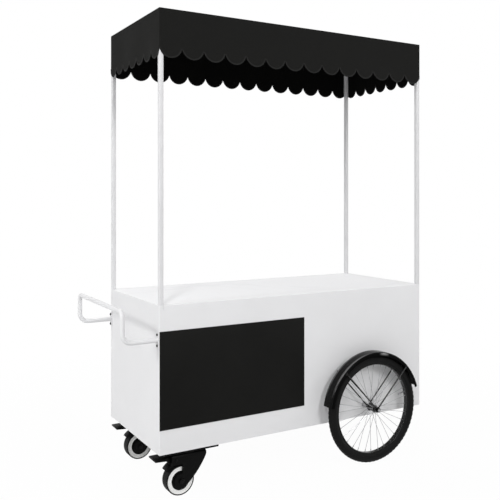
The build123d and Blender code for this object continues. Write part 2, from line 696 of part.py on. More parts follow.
def fork_section():
    """End view of the fork: a pressed channel with round bends beside its crown."""
    walls = []
    for half, top, bend in (
        (FORK_OUTER, FORK_TOP, FORK_BEND), (FORK_GAP_HALF, CROWN_UNDER, FORK_BEND - FORK_PLATE)
    ):
        wall = Pos(0, top / 2) * Rectangle(2 * half, top)
        walls.append(fillet(wall.vertices().group_by(Axis.Y)[-1], bend))
    return walls[0] - walls[1]


def fork():
    channel = Pos(FORK_LEFT, 0, 0) * extrude(Plane.YZ * fork_section(), FORK_RIGHT - FORK_LEFT)
    body = channel & plate(fork_leg(), (0, FORK_OUTER, 0), (0, -1, 0), 2 * FORK_OUTER)
    body += rod((0, 0, FORK_TOP - FORK_PLATE / 2), (0, 0, RACE_SPLIT), RACE_RADIUS)
    body -= rod((0, 0, CROWN_UNDER - PAST), (0, 0, PLATE_UNDER), KINGPIN / 2 + RUNNING)
    reach = FORK_OUTER + PAST
    for place, pin in ((CASTER_AXLE, AXLE_END), (PEDAL_PIVOT, PEDAL_PIN)):
        body -= rod((place.X, -reach, place.Y), (place.X, reach, place.Y), pin / 2 + RUNNING)
    return body


def caster_axle():
    """Axle bolt with its nut, the spacers beside the wheel, and the pin that the pedal tips on."""
    across = ACROSS_FLATS[AXLE_END]
    bore = AXLE_END / 2 + RUNNING
    bolt = hexagon((0, -FORK_OUTER - AXLE_HEAD, 0), (0, 1, 0), across, AXLE_HEAD)
    bolt += rod((0, -FORK_OUTER, 0), (0, FORK_OUTER + AXLE_NUT + AXLE_PAST_NUT, 0), AXLE_END / 2)
    nut = hexagon((0, FORK_OUTER, 0), (0, 1, 0), across, AXLE_NUT, bore)
    beside = both_ways((CASTER_WIDTH / 2 + END_PLAY, FORK_GAP_HALF))
    spacers = [ring_y(bore, SPACER_RADIUS, y) for y in beside]
    x, z = PEDAL_PIVOT.X, PEDAL_PIVOT.Y
    radius, height = PEDAL_PIN_HEAD
    pin = rod((x, -FORK_OUTER, z), (x, FORK_OUTER, z), PEDAL_PIN / 2)
    for way in (-1, 1):
        pin += rod((x, way * FORK_OUTER, z), (x, way * (FORK_OUTER + height), z), radius)
    return [AT_CASTER_AXLE * piece for piece in (bolt, nut, *spacers)] + [pin]


def caster_tread():
    section = arch(CASTER_RADIUS - CASTER_TREAD, CASTER_RADIUS, CASTER_WIDTH / 2, CASTER_SHOULDER)
    return AT_CASTER_AXLE * revolve(section, Axis.Y)


def caster_core():
    radius, width = CASTER_BEARING
    wheel = ring_y(SPACER_RADIUS, CASTER_RADIUS - CASTER_TREAD, around(0, CORE_HALF))
    for y in both_ways((CORE_HALF - width, CORE_HALF)):
        wheel -= rod((0, y[0], 0), (0, y[1], 0), radius + SEAT_PLAY)
    return AT_CASTER_AXLE * wheel


def caster_bearings():
    radius, width = CASTER_BEARING
    places = both_ways((CORE_HALF - width, CORE_HALF))
    return [AT_CASTER_AXLE * ring_y(AXLE_END / 2 + RUNNING, radius, y) for y in places]


def caster_covers():
    places = both_ways((CORE_HALF, CASTER_WIDTH / 2))
    return [AT_CASTER_AXLE * ring_y(COVER_BORE, COVER_RADIUS, y) for y in places]


def round_axle(radius, degrees):
    """A point beside the caster wheel, at an angle round its axle."""
    turn = math.radians(degrees)
    return CASTER_AXLE + Vector(math.cos(turn), math.sin(turn)) * radius


def pedal():
    """Brake pedal in its upper position: an arm with a shoe, and a foot plate.

    The shoe's inner side is drawn on the tread, where it brakes, and turned back by the pedal's travel.
    """
    low, high = SHOE_ANGLES
    braking = [round_axle(CASTER_RADIUS + SHOE_PLAY, degrees) for degrees in (low, (low + high) / 2, high)]
    first, middle, last = [
        PEDAL_PIVOT + (point - PEDAL_PIVOT).rotate(Axis.Z, -PEDAL_TRAVEL) for point in braking
    ]
    back_angles = (SHOE_BACK_FROM, (SHOE_BACK_FROM + high) / 2, high)
    back = [round_axle(SHOE_BACK, degrees) for degrees in back_angles]
    upper = [first, *PEDAL_ARM, back[0]]
    edges = [Line(a, b) for a, b in zip(upper, upper[1:])]
    edges += [ThreePointArc(*back), Line(back[-1], last), ThreePointArc(last, middle, first)]
    arm = plate(make_face(edges), (0, PEDAL_ARM_HALF, 0), (0, -1, 0), 2 * PEDAL_ARM_HALF)
    x, z = PEDAL_PIVOT.X, PEDAL_PIVOT.Y
    reach = PEDAL_ARM_HALF + PAST
    arm -= rod((x, -reach, z), (x, reach, z), PEDAL_PIN / 2 + RUNNING)
    foot = make_face(Polyline(*PEDAL_FOOT, close=True))
    return arm + plate(foot, (0, PEDAL_FOOT_HALF, 0), (0, -1, 0), 2 * PEDAL_FOOT_HALF)


# Doors


def door_limits():
    """X limits of the left and the right door."""
    middle = (JAMB_LEFT + JAMB_RIGHT) / 2
    return {
        "left": (JAMB_LEFT + DOOR_GAP, middle - DOOR_GAP / 2),
        "right": (middle + DOOR_GAP / 2, JAMB_RIGHT - DOOR_GAP),
    }


def door(name):
    return block(door_limits()[name], (BACK - DOOR_BOARD, BACK), inset(BETWEEN_RAILS, DOOR_GAP))


def hinge_axis(name):
    """X of a door's hinge axis and the way from there to the door."""
    if name == "left":
        return JAMB_LEFT + DOOR_GAP / 2, 1
    return JAMB_RIGHT - DOOR_GAP / 2, -1


def hinge_leaf(name, height, way, knuckles, bore):
    """One leaf of a hinge on the outside, with its knuckles round the axis."""
    x, _ = hinge_axis(name)
    y = BACK + KNUCKLE
    near, far = x + way * (KNUCKLE + DOOR_STOP_GAP), x + way * LEAF_WIDTH
    leaf = block((min(near, far), max(near, far)), (BACK, BACK + LEAF), around(height, HINGE_HALF))
    for low, high in knuckles:
        link = (min(x + way, near), max(x + way, near))
        leaf += block(link, (BACK, BACK + LEAF), (height + low, height + high))
        leaf += rod((x, y, height + low), (x, y, height + high), KNUCKLE)
    if bore:
        leaf -= rod((x, y, height - HINGE_HALF), (x, y, height + HINGE_HALF), bore)
    return leaf


def fixed_leaves():
    outer_knuckles = [(-HINGE_HALF, -HINGE_MIDDLE), (HINGE_MIDDLE, HINGE_HALF)]
    made = []
    for name in door_limits():
        x, way = hinge_axis(name)
        for height in HINGE_HEIGHTS:
            leaf = hinge_leaf(name, height, -way, outer_knuckles, 0)
            low, high = [(x, BACK + KNUCKLE, z) for z in around(height, HINGE_HALF)]
            made.append(leaf + rod(low, high, HINGE_PIN))
    return made


def door_hinges(name):
    _, way = hinge_axis(name)
    knuckle = around(0, HINGE_MIDDLE - END_PLAY)
    return [hinge_leaf(name, height, way, [knuckle], HINGE_PIN + RUNNING) for height in HINGE_HEIGHTS]


def door_knob(name):
    _, way = hinge_axis(name)
    low, high = door_limits()[name]
    x = (high if way > 0 else low) - way * KNOB_FROM_EDGE
    stem_end = BACK + KNOB_STEM[1]
    stem = rod((x, BACK, KNOB_HEIGHT), (x, stem_end, KNOB_HEIGHT), KNOB_STEM[0])
    grip_start, grip_end = stem_end - KNOB_SUNK, stem_end - KNOB_SUNK + KNOB_GRIP[1]
    grip = rod((x, grip_start, KNOB_HEIGHT), (x, grip_end, KNOB_HEIGHT), KNOB_GRIP[0])
    return stem + fillet(grip.edges().filter_by(GeomType.CIRCLE), KNOB_ROUND)


# Every node by its name

nodes = {
    "cabinet_frame": cabinet_frame(),
    "floor_panel": floor_panel(),
    "front_panel": long_panel(SIDES["front"]),
    "back_panel": back_panel(),
    "left_end_panel": end_panel((LEFT, LEFT + SHEET)),
    "right_end_panel": end_panel((RIGHT - SHEET, RIGHT)),
    "sign_panel": sign_panel(),
    "counter_top": counter_top(),
    "canopy_frame": canopy_frame(),
    "canopy_cover": canopy_cover(),
    "push_handle": push_handle(),
    "handle_bolts": handle_bolts(),
    "cross_axle": cross_axle(),
    "axle_brackets": axle_brackets(),
    "axle_nuts": axle_nuts(),
    "fender_bolts": fender_bolts(),
    "caster_plates": caster_plates(),
    "caster_bolts": caster_bolts(),
    "hinge_leaves": fixed_leaves(),
}

for corner in corner_limits():
    nodes[f"pole_{corner}"] = pole(corner)

wheel_pieces = {
    "tyre": [tyre()], "inner_tube": inner_tube(), "rim": [rim()],
    "spokes": spokes(), "hub": [hub()], "hub_bearings": hub_bearings(),
}
guard_pieces = {"fender": [fender()], "fender_stays": fender_stays()}
caster_pieces = {
    "fork": [fork()], "axle": caster_axle(), "tread": [caster_tread()], "core": [caster_core()],
    "bearings": caster_bearings(), "covers": caster_covers(), "pedal": [pedal()],
}
for name, side in SIDES.items():
    at_wheel = Pos(WHEEL_X, side * WHEEL_Y, WHEEL_RADIUS)
    at_caster = Pos(SWIVEL_X, side * CASTER_Y, 0)
    for piece, solids in wheel_pieces.items():
        nodes[f"wheel_{name}_{piece}"] = [at_wheel * solid for solid in solids]
    for piece, solids in guard_pieces.items():
        nodes[f"{piece}_{name}"] = [at_wheel * solid for solid in solids]
    for piece, solids in caster_pieces.items():
        nodes[f"caster_{name}_{piece}"] = [at_caster * solid for solid in solids]

for name in door_limits():
    nodes[f"door_{name}"] = door(name)
    nodes[f"door_{name}_hinges"] = door_hinges(name)
    nodes[f"door_{name}_knob"] = door_knob(name)

os.makedirs("parts", exist_ok=True)
for name, made in nodes.items():
    shapes = made if isinstance(made, list) else [made]
    solids = [solid for shape in shapes for solid in shape.solids()]
    export_step(Compound(solids), f"parts/{name}.step")
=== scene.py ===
"""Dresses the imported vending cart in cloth, paint, rubber and small metalwork, and sets its stage.

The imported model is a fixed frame. Each operator makes one group of pieces round it, and the last one
sets the floor, the lamps and the camera.
"""

import json
import math
from collections import namedtuple

import bmesh
import bpy
from mathutils import Matrix, Vector


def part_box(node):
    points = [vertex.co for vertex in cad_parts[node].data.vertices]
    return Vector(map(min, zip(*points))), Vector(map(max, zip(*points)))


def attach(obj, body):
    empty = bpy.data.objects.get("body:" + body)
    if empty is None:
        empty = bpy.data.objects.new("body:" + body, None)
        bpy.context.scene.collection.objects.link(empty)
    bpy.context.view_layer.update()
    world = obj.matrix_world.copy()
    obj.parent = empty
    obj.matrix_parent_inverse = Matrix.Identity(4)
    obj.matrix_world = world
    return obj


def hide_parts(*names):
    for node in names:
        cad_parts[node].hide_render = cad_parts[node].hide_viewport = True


bl_info = {
    "name": "Vending Cart Dressing",
    "version": (1, 0, 0),
    "blender": (4, 5, 0),
    "location": "3D View > Sidebar > Cart",
    "description": "Cloth, paint, rubber and metalwork of a vending cart, round its packed model",
    "category": "Object",
}

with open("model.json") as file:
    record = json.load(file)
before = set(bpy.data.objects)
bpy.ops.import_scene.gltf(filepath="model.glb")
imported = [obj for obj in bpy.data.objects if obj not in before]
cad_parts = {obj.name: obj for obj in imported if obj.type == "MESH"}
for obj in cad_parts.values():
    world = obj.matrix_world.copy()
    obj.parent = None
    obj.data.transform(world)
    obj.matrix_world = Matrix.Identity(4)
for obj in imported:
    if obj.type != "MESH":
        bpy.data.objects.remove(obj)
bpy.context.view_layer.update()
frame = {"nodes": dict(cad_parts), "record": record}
NODES = frame["nodes"]
BODIES = frame["record"]["behaviour"]["bodies"]
BODY_OF = {node: body for body, nodes in BODIES.items() for node in nodes}
SLOT_OF = {name: node.data.materials[0].name for name, node in NODES.items()}
MM = 0.001
SAME_POINT = 1e-6
FULL_TURN = 360.0
SIDES = ("front", "back")
EVEN = (1.0, 1.0, 1.0)
WHITE = (1.0, 1.0, 1.0, 1.0)
UP = Vector((0.0, 0.0, 1.0))


# Sizes and colours that a user would change


def length(label, words, millimetres):
    return bpy.props.FloatProperty(
        name=label, description=words, default=millimetres * MM, min=0.0, unit="LENGTH", precision=5
    )


def count(label, words, number):
    return bpy.props.IntProperty(name=label, description=words, default=number, min=1)


def colour(label, words, red, green, blue):
    return bpy.props.FloatVectorProperty(
        name=label, description=words, default=(red, green, blue), min=0.0, max=1.0, size=3, subtype="COLOR"
    )


class CartSizes(bpy.types.PropertyGroup):
    """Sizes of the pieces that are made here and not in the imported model."""

    lobes_long: count("Long lobes", "Lobes along the front and the back of the valance", 14)
    lobes_short: count("Short lobes", "Lobes along each end of the valance", 7)
    lobe_depth: length("Lobe depth", "From the lowest point of a lobe up to the cusp", 40)
    cloth: length("Cloth", "Thickness of the canopy cloth", 1)
    cloth_fold: length("Fold", "Radius of the cloth over the rails and round the corners", 2.6)
    cloth_sag: length("Sag", "Depth of the cloth between the roof bars", 7)
    cloth_flutter: length("Flutter", "How far the free edge of the valance waves", 1)
    cloth_puff: length("Puff", "How far each lobe stands out at its free edge", 2.5)
    binding: length("Binding", "Width of the tape on the scalloped edge", 6)
    stitch: length("Stitch", "Length of one stitch", 3)
    stitch_pitch: length("Stitch pitch", "From one stitch to the next", 4.5)
    thread: length("Thread", "Thickness of the thread", 0.7)
    weave: length("Weave", "Width of one yarn of the cloth", 0.9)
    paint_edge: length("Edge", "Radius of the edges of tubes, posts and counter", 1.4)
    weld: length("Weld", "Radius of the weld bead round the handle's ends", 1.6)
    spoke: length("Spoke", "Thickness of a spoke", 2)
    nipple: length("Nipple", "Thickness of a spoke nipple", 4)
    nipple_length: length("Nipple length", "Length of a spoke nipple", 13)
    tread_blocks: count("Tread blocks", "Blocks in each row round the tyre", 72)
    tread_height: length("Tread height", "Height of the tread blocks over the casing", 1.1)


class CartColours(bpy.types.PropertyGroup):
    """Base colours of the finishes."""

    paint: colour("White paint", "Poles and canopy frame", 0.70, 0.70, 0.71)
    handle: colour("Handle", "Coat of the push handle", 0.74, 0.74, 0.75)
    panel: colour("White panel", "Sides and doors of the cabinet", 0.79, 0.79, 0.80)
    counter: colour("Counter", "Ground of the counter slab", 0.90, 0.90, 0.91)
    vein: colour("Vein", "Veins in the counter slab", 0.60, 0.60, 0.62)
    board: colour("Black panel", "Panel on the front", 0.0080, 0.0080, 0.0075)
    cloth: colour("Cloth", "Outer side of the canopy", 0.0105, 0.0105, 0.0100)
    # The lining is much darker than the outer cloth as painted shade inside the canopy.
    lining: colour("Lining", "Inner side of the canopy", 0.0030, 0.0030, 0.0028)
    # The mudguards are one painted sheet: the skirts keep the darker gloss black as painted shade, and the
    # crown gets the lighter colour below as painted light.
    gloss_black: colour("Gloss black", "Rims and the mudguards' skirts", 0.0025, 0.0025, 0.0025)
    mudguard: colour("Mudguard", "Crowns of the mudguards", 0.0060, 0.0060, 0.0060)
    satin_black: colour("Satin black", "Forks, pedals, stays, bolts and knobs", 0.0040, 0.0040, 0.0040)
    rubber: colour("Rubber", "Tyres and caster treads", 0.0070, 0.0070, 0.0070)
    moulding: colour("White moulding", "Caster wheel cores", 0.95, 0.95, 0.94)
    steel: colour("Steel", "Spokes and plated bolts", 0.40, 0.40, 0.41)
    alloy: colour("Alloy", "Wheel hubs", 0.05, 0.05, 0.05)
    floor: colour("Floor board", "Board inside the cabinet", 0.74, 0.73, 0.71)


def sizes():
    return bpy.context.scene.cart_sizes


def tint(name, share=1.0):
    """A base colour with its alpha, made darker or lighter by a share."""
    return (*[channel * share for channel in getattr(bpy.context.scene.cart_colours, name)], 1.0)


# Node trees written as sums


def math_method(operation, reflected=False):
    """A method that adds a Math node, with its terms the other way round in the reflected form."""

    def method(self, *others):
        terms = (*others, self) if reflected else (self, *others)
        return self.net.math(operation, *terms)

    return method


class Field:
    """A socket that takes part in sums. Each sum adds a Math node to the socket's tree."""

    def __init__(self, net, socket):
        self.net = net
        self.socket = socket

    def beside(self, output):
        """Another output of the same node."""
        return Field(self.net, self.socket.node.outputs[output])

    __add__ = math_method("ADD")
    __radd__ = math_method("ADD", reflected=True)
    __sub__ = math_method("SUBTRACT")
    __rsub__ = math_method("SUBTRACT", reflected=True)
    __mul__ = math_method("MULTIPLY")
    __rmul__ = math_method("MULTIPLY", reflected=True)
    __truediv__ = math_method("DIVIDE")
    __rtruediv__ = math_method("DIVIDE", reflected=True)
    __mod__ = math_method("FLOORED_MODULO")
    __rmod__ = math_method("FLOORED_MODULO", reflected=True)
    __abs__ = math_method("ABSOLUTE")


class Net:
    """A node tree under construction."""

    noise_span = (0.3, 0.7)

    def __init__(self, tree):
        self.tree = tree

    def feed(self, node, inputs):
        """Gives a node's sockets their links or values. A list holds several links for one socket."""
        for key, value in inputs.items():
            for item in value if isinstance(value, list) else [value]:
                if isinstance(item, Field):
                    self.tree.links.new(item.socket, node.inputs[key])
                else:
                    node.inputs[key].default_value = item

    def node(self, kind, settings=None, inputs=None, output=0):
        """Adds a node of any type, its settings first and then its sockets, and gives one output."""
        made = self.tree.nodes.new(kind)
        for key, value in (settings or {}).items():
            setattr(made, key, value)
        self.feed(made, inputs or {})
        return Field(self, made.outputs[output]) if made.outputs else None

    def math(self, operation, *terms):
        return self.node("ShaderNodeMath", {"operation": operation}, dict(enumerate(terms)))

    def vector(self, x, y, z):
        return self.node("ShaderNodeCombineXYZ", inputs={"X": x, "Y": y, "Z": z})

    def length_of(self, vector):
        return self.node("ShaderNodeVectorMath", {"operation": "LENGTH"}, {0: vector}, output="Value")

    def place(self, stretch=EVEN):
        """The place on the piece, stretched along each axis."""
        at = self.node("ShaderNodeTexCoord", output="Object")
        return at if stretch == EVEN else self.stretched(at, stretch)

    def stretched(self, place, stretch):
        return self.node("ShaderNodeMapping", inputs={"Vector": place, "Scale": stretch})

    def noise(self, place, scale, detail=2.0, distortion=0.0):
        sockets = {"Vector": place, "Scale": scale, "Detail": detail, "Distortion": distortion}
        return self.node("ShaderNodeTexNoise", inputs=sockets)

    def remap(self, value, low, high, to_low=0.0, to_high=1.0):
        """The value's share of the way from low to high, as a place between two others."""
        return self.node("ShaderNodeMapRange", inputs={0: value, 1: low, 2: high, 3: to_low, 4: to_high})

    def spread(self, noise, to_low=0.0, to_high=1.0):
        """A noise, which keeps to the middle of its range, spread from one value to another."""
        return self.remap(noise, *self.noise_span, to_low, to_high)

    def blend(self, share, first, second):
        """A colour between two others."""
        return self.node("ShaderNodeMix", {"data_type": "RGBA"}, {0: share, 6: first, 7: second}, output=2)

    def bump(self, height, strength, depth):
        """Relief whose depth is in millimetres."""
        sockets = {"Height": height, "Strength": strength, "Distance": depth * MM}
        return self.node("ShaderNodeBump", inputs=sockets)


# Finishes


def coated(hue, roughness, grain, depth, specular, mottle=0.04, coat=0.0, lacquer=1.5):
    """Paint or moulded plastic: a little uneven in colour and gloss, with a fine grain.

    The coat is a weight, or the name of the piece's own attribute that holds it; the lacquer is its IOR.
    """

    def recipe(net):
        place = net.place()
        cloud = net.noise(place, scale=5.0, detail=4.0)
        smear = net.noise(place, scale=38.0, detail=3.0, distortion=0.6)
        weight = coat
        if isinstance(coat, str):
            weight = net.node("ShaderNodeAttribute", {"attribute_name": coat}, output="Fac")
        darker, lighter = tint(hue, 1.0 - mottle), tint(hue, 1.0 + mottle / 3)
        return {
            "Base Color": net.blend(net.spread(cloud), darker, lighter),
            "Roughness": net.spread(cloud * 0.6 + smear * 0.4, roughness - 0.06, roughness + 0.06),
            "Normal": net.bump(net.noise(place, grain, detail=3.0), strength=0.5, depth=depth),
            "Specular IOR Level": specular,
            "Coat Weight": weight,
            "Coat Roughness": 0.10,
            "Coat IOR": lacquer,
        }

    return recipe


def veined(net):
    """A pale slab with clouds and thin grey veins."""
    place = net.place()
    broad = net.noise(place, scale=1.3, detail=6.0, distortion=1.5)
    fine = net.noise(place, scale=3.4, detail=8.0, distortion=2.2)
    thick_vein = net.remap(abs(broad - 0.5), 0.0, 0.035, 1.0, 0.0)
    thin_vein = net.remap(abs(fine - 0.52), 0.0, 0.012, 1.0, 0.0)
    patch = net.remap(net.noise(place, scale=0.9, detail=3.0), 0.42, 0.62)
    share = patch * (thick_vein * 0.22 + thin_vein * 0.14)
    return {
        "Base Color": net.blend(share, tint("counter"), tint("vein")),
        "Roughness": net.spread(net.noise(place, scale=7.0), 0.46, 0.52),
        "Normal": net.bump(net.noise(place, scale=12.0, detail=1.0), strength=0.2, depth=0.05),
        "Specular IOR Level": 0.03,
    }


def woven(hue, specular):
    """Plain-woven cloth on the piece's own flat map, which is in metres."""

    def recipe(net):
        flat = net.node("ShaderNodeTexCoord", output="UV")
        x = net.node("ShaderNodeSeparateXYZ", inputs={0: flat}, output="X")
        along, across = x / sizes().weave, x.beside("Y") / sizes().weave
        over = (net.math("FLOOR", along) + net.math("FLOOR", across)) % 2.0
        warp = abs(net.math("SINE", along * math.pi))
        weft = abs(net.math("SINE", across * math.pi))
        height = warp * over + weft * (1.0 - over)
        slub = net.noise(net.stretched(flat, (60.0, 900.0, 1.0)), scale=1.0)
        worn = net.noise(net.place(), scale=4.0, detail=4.0)
        # The colour follows the yarn height, darker between the yarns as painted shade, with the slub and
        # worn noise as the cloth's own uneven tone.
        light = net.remap(height * 0.5 + slub * 0.3 + worn * 0.4, 0.25, 0.95)
        return {
            "Base Color": net.blend(light, tint(hue, 0.78), tint(hue, 1.30)),
            "Roughness": net.spread(worn, 0.78, 0.92),
            "Normal": net.bump(height + slub * 0.4, strength=0.5, depth=0.25),
            "Specular IOR Level": specular,
            "Sheen Weight": 0.008,
            "Sheen Roughness": 0.4,
        }

    return recipe


def rubber(net):
    """Black rubber, dull, with a little dust in its grain."""
    place = net.place()
    dust = net.remap(net.noise(place, scale=14.0, detail=6.0), 0.45, 0.75)
    grain = net.noise(place, scale=420.0, detail=3.0)
    pores = net.noise(place, scale=90.0)
    return {
        "Base Color": net.blend(dust * 0.5, tint("rubber"), tint("rubber", 1.8)),
        "Roughness": net.remap(dust, 0.0, 1.0, 0.48, 0.66),
        "Normal": net.bump(grain + pores * 0.6, strength=0.4, depth=0.1),
        "Specular IOR Level": 0.06,
    }


def bare_metal(hue, roughness, scale, stretch=EVEN):
    """Polished or plated metal with fine lines drawn along it."""

    def recipe(net):
        lines = net.noise(net.place(stretch), scale, detail=4.0)
        stain = net.noise(net.place(), scale=30.0, detail=3.0)
        return {
            "Base Color": net.blend(net.remap(stain, 0.35, 0.7), tint(hue, 0.9), tint(hue, 1.05)),
            "Metallic": 1.0,
            "Roughness": net.spread(lines * 0.6 + stain * 0.4, roughness - 0.08, roughness + 0.10),
            "Normal": net.bump(lines, strength=0.25, depth=0.03),
        }

    return recipe


# A coated finish lists its colour, roughness, scale and depth of grain, specular level and mottle
FINISHES = {
    "white_powder_coat": coated("paint", 0.38, 90.0, 0.02, 0.45),
    "white_dip_coat": coated("handle", 0.34, 90.0, 0.02, 0.45),
    "white_laminate": coated("panel", 0.42, 60.0, 0.02, 0.4, 0.02),
    "door_laminate": coated("panel", 0.44, 60.0, 0.02, 0.4, 0.02),
    "floor_laminate": coated("floor", 0.46, 120.0, 0.03, 0.4, 0.06),
    "white_moulding": coated("moulding", 0.36, 200.0, 0.03, 0.5),
    "black_board": coated("board", 0.58, 300.0, 0.04, 0.06, 0.2),
    "satin_black_paint": coated("satin_black", 0.36, 200.0, 0.03, 0.06, 0.2),
    "stay_paint": coated("satin_black", 0.25, 200.0, 0.03, 0.4, 0.2),
    "black_oxide": coated("satin_black", 0.30, 400.0, 0.03, 0.10, 0.3),
    "black_moulding": coated("satin_black", 0.50, 300.0, 0.05, 0.12, 0.25),
    "knob_moulding": coated("satin_black", 0.30, 200.0, 0.03, 0.3, 0.2),
    "gloss_black_paint": coated("gloss_black", 0.13, 60.0, 0.02, 0.12, 0.2),
    "polished_black_paint": coated("gloss_black", 0.26, 60.0, 0.02, 0.6, 0.2),
    # Crown and skirt of the mudguard differ in colour and gloss as painted light on the crown and painted
    # shade on the skirts.
    "mudguard_paint": coated("mudguard", 0.16, 60.0, 0.02, 0.06, 0.2, coat="lacquer", lacquer=2.4),
    "mudguard_skirt": coated("gloss_black", 0.24, 60.0, 0.02, 0.02, 0.2, coat="lacquer", lacquer=2.4),
    "canopy_thread": coated("cloth", 0.7, 900.0, 0.05, 0.2, 0.3),
    "binding_tape": coated("cloth", 0.75, 1400.0, 0.1, 0.16, 0.25),
    "canopy_cloth": woven("cloth", specular=0.06),
    "canopy_lining": woven("lining", specular=0.04),
    "veined_slab": veined,
    "tyre_rubber_grain": rubber,
    "tube_rubber_grain": rubber,
    "caster_rubber": rubber,
    "zinc_plate": bare_metal("steel", 0.34, 240.0),
    "spoke_wire": bare_metal("steel", 0.36, 120.0),
    "turned_alloy": bare_metal("alloy", 0.30, 30.0, stretch=(1.0, 60.0, 1.0)),
}
FINISH_OF_SLOT = {
    "white_paint": "white_powder_coat",
    "white_panel": "white_laminate",
    "marble_top": "veined_slab",
    "sign_black": "black_board",
    "canopy_fabric": "canopy_cloth",
    "black_steel": "satin_black_paint",
    "rim_black": "gloss_black_paint",
    "zinc_steel": "zinc_plate",
    "black_bolts": "black_oxide",
    "spoke_steel": "spoke_wire",
    "hub_alloy": "turned_alloy",
    "tyre_rubber": "tyre_rubber_grain",
    "tube_rubber": "tube_rubber_grain",
    "caster_tread": "caster_rubber",
    "caster_core": "white_moulding",
    "caster_cover": "black_moulding",
    "floor_board": "floor_laminate",
    "door_board": "door_laminate",
    "knob_black": "knob_moulding",
}


def finish(name):
    """The material of that name, made when it is first asked for."""
    made = bpy.data.materials.get(name)
    if made is None:
        made = bpy.data.materials.new(name)
        made.use_nodes = True
        net = Net(made.node_tree)
        net.feed(made.node_tree.nodes["Principled BSDF"], FINISHES[name](net))
    return made


def slot_finish(slot):
    return finish(FINISH_OF_SLOT[slot])


# Meshes


class Shape:
    """Points and faces of a piece, gathered grid by grid."""

    def __init__(self):
        self.points = []
        self.faces = []
        self.flat = []

    def grid(self, rows, ring_of_rows=False, ring_of_points=False, flat=None):
        """Four-sided faces between neighbouring rows; flat holds each point's place on the flat cloth."""
        first = len(self.points)
        wide = len(rows[0])
        self.points += [point for row in rows for point in row]
        for i in range(len(rows) if ring_of_rows else len(rows) - 1):
            for k in range(wide if ring_of_points else wide - 1):
                i_next = (i + 1) % len(rows)
                k_next = (k + 1) % wide
                corners = [(i, k), (i, k_next), (i_next, k_next), (i_next, k)]
                self.faces.append([first + a * wide + b for a, b in corners])
                if flat:
                    self.flat += [flat[a][b] for a, b in corners]
        return self

    def lid(self, row):
        """One face over a row of points."""
        first = len(self.points)
        self.points += row
        self.faces.append(list(range(first, first + len(row))))
        return self

    def closed(self, rows):
        """A skin round rings of points, with a lid at each end."""
        return self.grid(rows, ring_of_points=True).lid(rows[0]).lid(rows[-1])

    def mesh(self, name, crease):
        made = bpy.data.meshes.new(name)
        made.from_pydata([tuple(point) for point in self.points], [], self.faces)
        if self.flat:
            layer = made.uv_layers.new(name="Flat")
            layer.data.foreach_set("uv", [number for place in self.flat for number in place])
        shell = bmesh.new()
        shell.from_mesh(made)
        bmesh.ops.remove_doubles(shell, verts=shell.verts, dist=SAME_POINT)
        bmesh.ops.recalc_face_normals(shell, faces=shell.faces)
        shell.to_mesh(made)
        shell.free()
        return smoothed(made, crease)


def smoothed(mesh, crease):
    """Smooth shading, with the edges sharper than the crease angle left sharp."""
    mesh.shade_smooth()
    mesh.set_sharp_from_angle(angle=math.radians(crease))
    return mesh


def metres(section):
    return [(r * MM, y * MM) for r, y in section]


def arc(middle_r, middle_y, radius, degrees):
    """Points of a round in a section, at angles from straight outwards towards the side."""
    turns = [math.radians(angle) for angle in degrees]
    return [(middle_r + radius * math.cos(turn), middle_y + radius * math.sin(turn)) for turn in turns]


def mirrored(half):
    """A closed section from its half on one side. Points on the middle plane stay single."""
    return half + [(r, -y) for r, y in reversed(half) if y]


def radial(turn):
    """The way out from an axle at an angle."""
    return Vector((math.cos(turn), 0.0, math.sin(turn)))


def lathe(shape, section, centre, steps, start=0.0, turn=FULL_TURN):
    """Turns a closed section of radii and sideways places about an axle, all round or part of the way."""
    rows = []
    for k in range(steps if turn == FULL_TURN else steps + 1):
        angle = math.radians(start + turn * k / steps)
        c, s = math.cos(angle), math.sin(angle)
        rows.append([Vector((centre.x + r * c, centre.y + y, centre.z + r * s)) for r, y in section])
    if turn < FULL_TURN:
        return shape.closed(rows)
    return shape.grid(rows, ring_of_rows=True, ring_of_points=True)


def share_faces(mesh, finishes, choose):
    """Gives a mesh several finishes: choose says which of them a face gets."""
    for item in finishes:
        mesh.materials.append(item)
    for face in mesh.polygons:
        face.material_index = int(choose(face))


def cut_level(mesh, height):
    """Divides the faces of a mesh at a height, so that the parts below and above can differ."""
    shell = bmesh.new()
    shell.from_mesh(mesh)
    every = [*shell.verts, *shell.edges, *shell.faces]
    bmesh.ops.bisect_plane(shell, geom=every, plane_co=(0.0, 0.0, height), plane_no=UP)
    shell.to_mesh(mesh)
    shell.free()


def bent_path(corners, radii, steps):
    """Points along straight runs with round corners."""
    path = [corners[0]]
    for before, corner, after, radius in zip(corners, corners[1:], corners[2:], radii):
        into = (corner - before).normalized()
        out = (after - corner).normalized()
        middle = corner - into * radius + out * radius
        for k in range(steps + 1):
            turn = math.pi / 2 * k / steps
            path.append(middle + into * radius * math.sin(turn) - out * radius * math.cos(turn))
    return path + [corners[-1]]


def tube(shape, path, radius, sides):
    """A round bar along a path."""
    side = (path[1] - path[0]).orthogonal().normalized()
    turns = [2 * math.pi * n / sides for n in range(sides)]
    rows = []
    for k, point in enumerate(path):
        ahead = (path[min(k + 1, len(path) - 1)] - path[max(k - 1, 0)]).normalized()
        side = (side - ahead * side.dot(ahead)).normalized()
        other = ahead.cross(side)
        rows.append([point + (side * math.cos(turn) + other * math.sin(turn)) * radius for turn in turns])
    return shape.closed(rows)


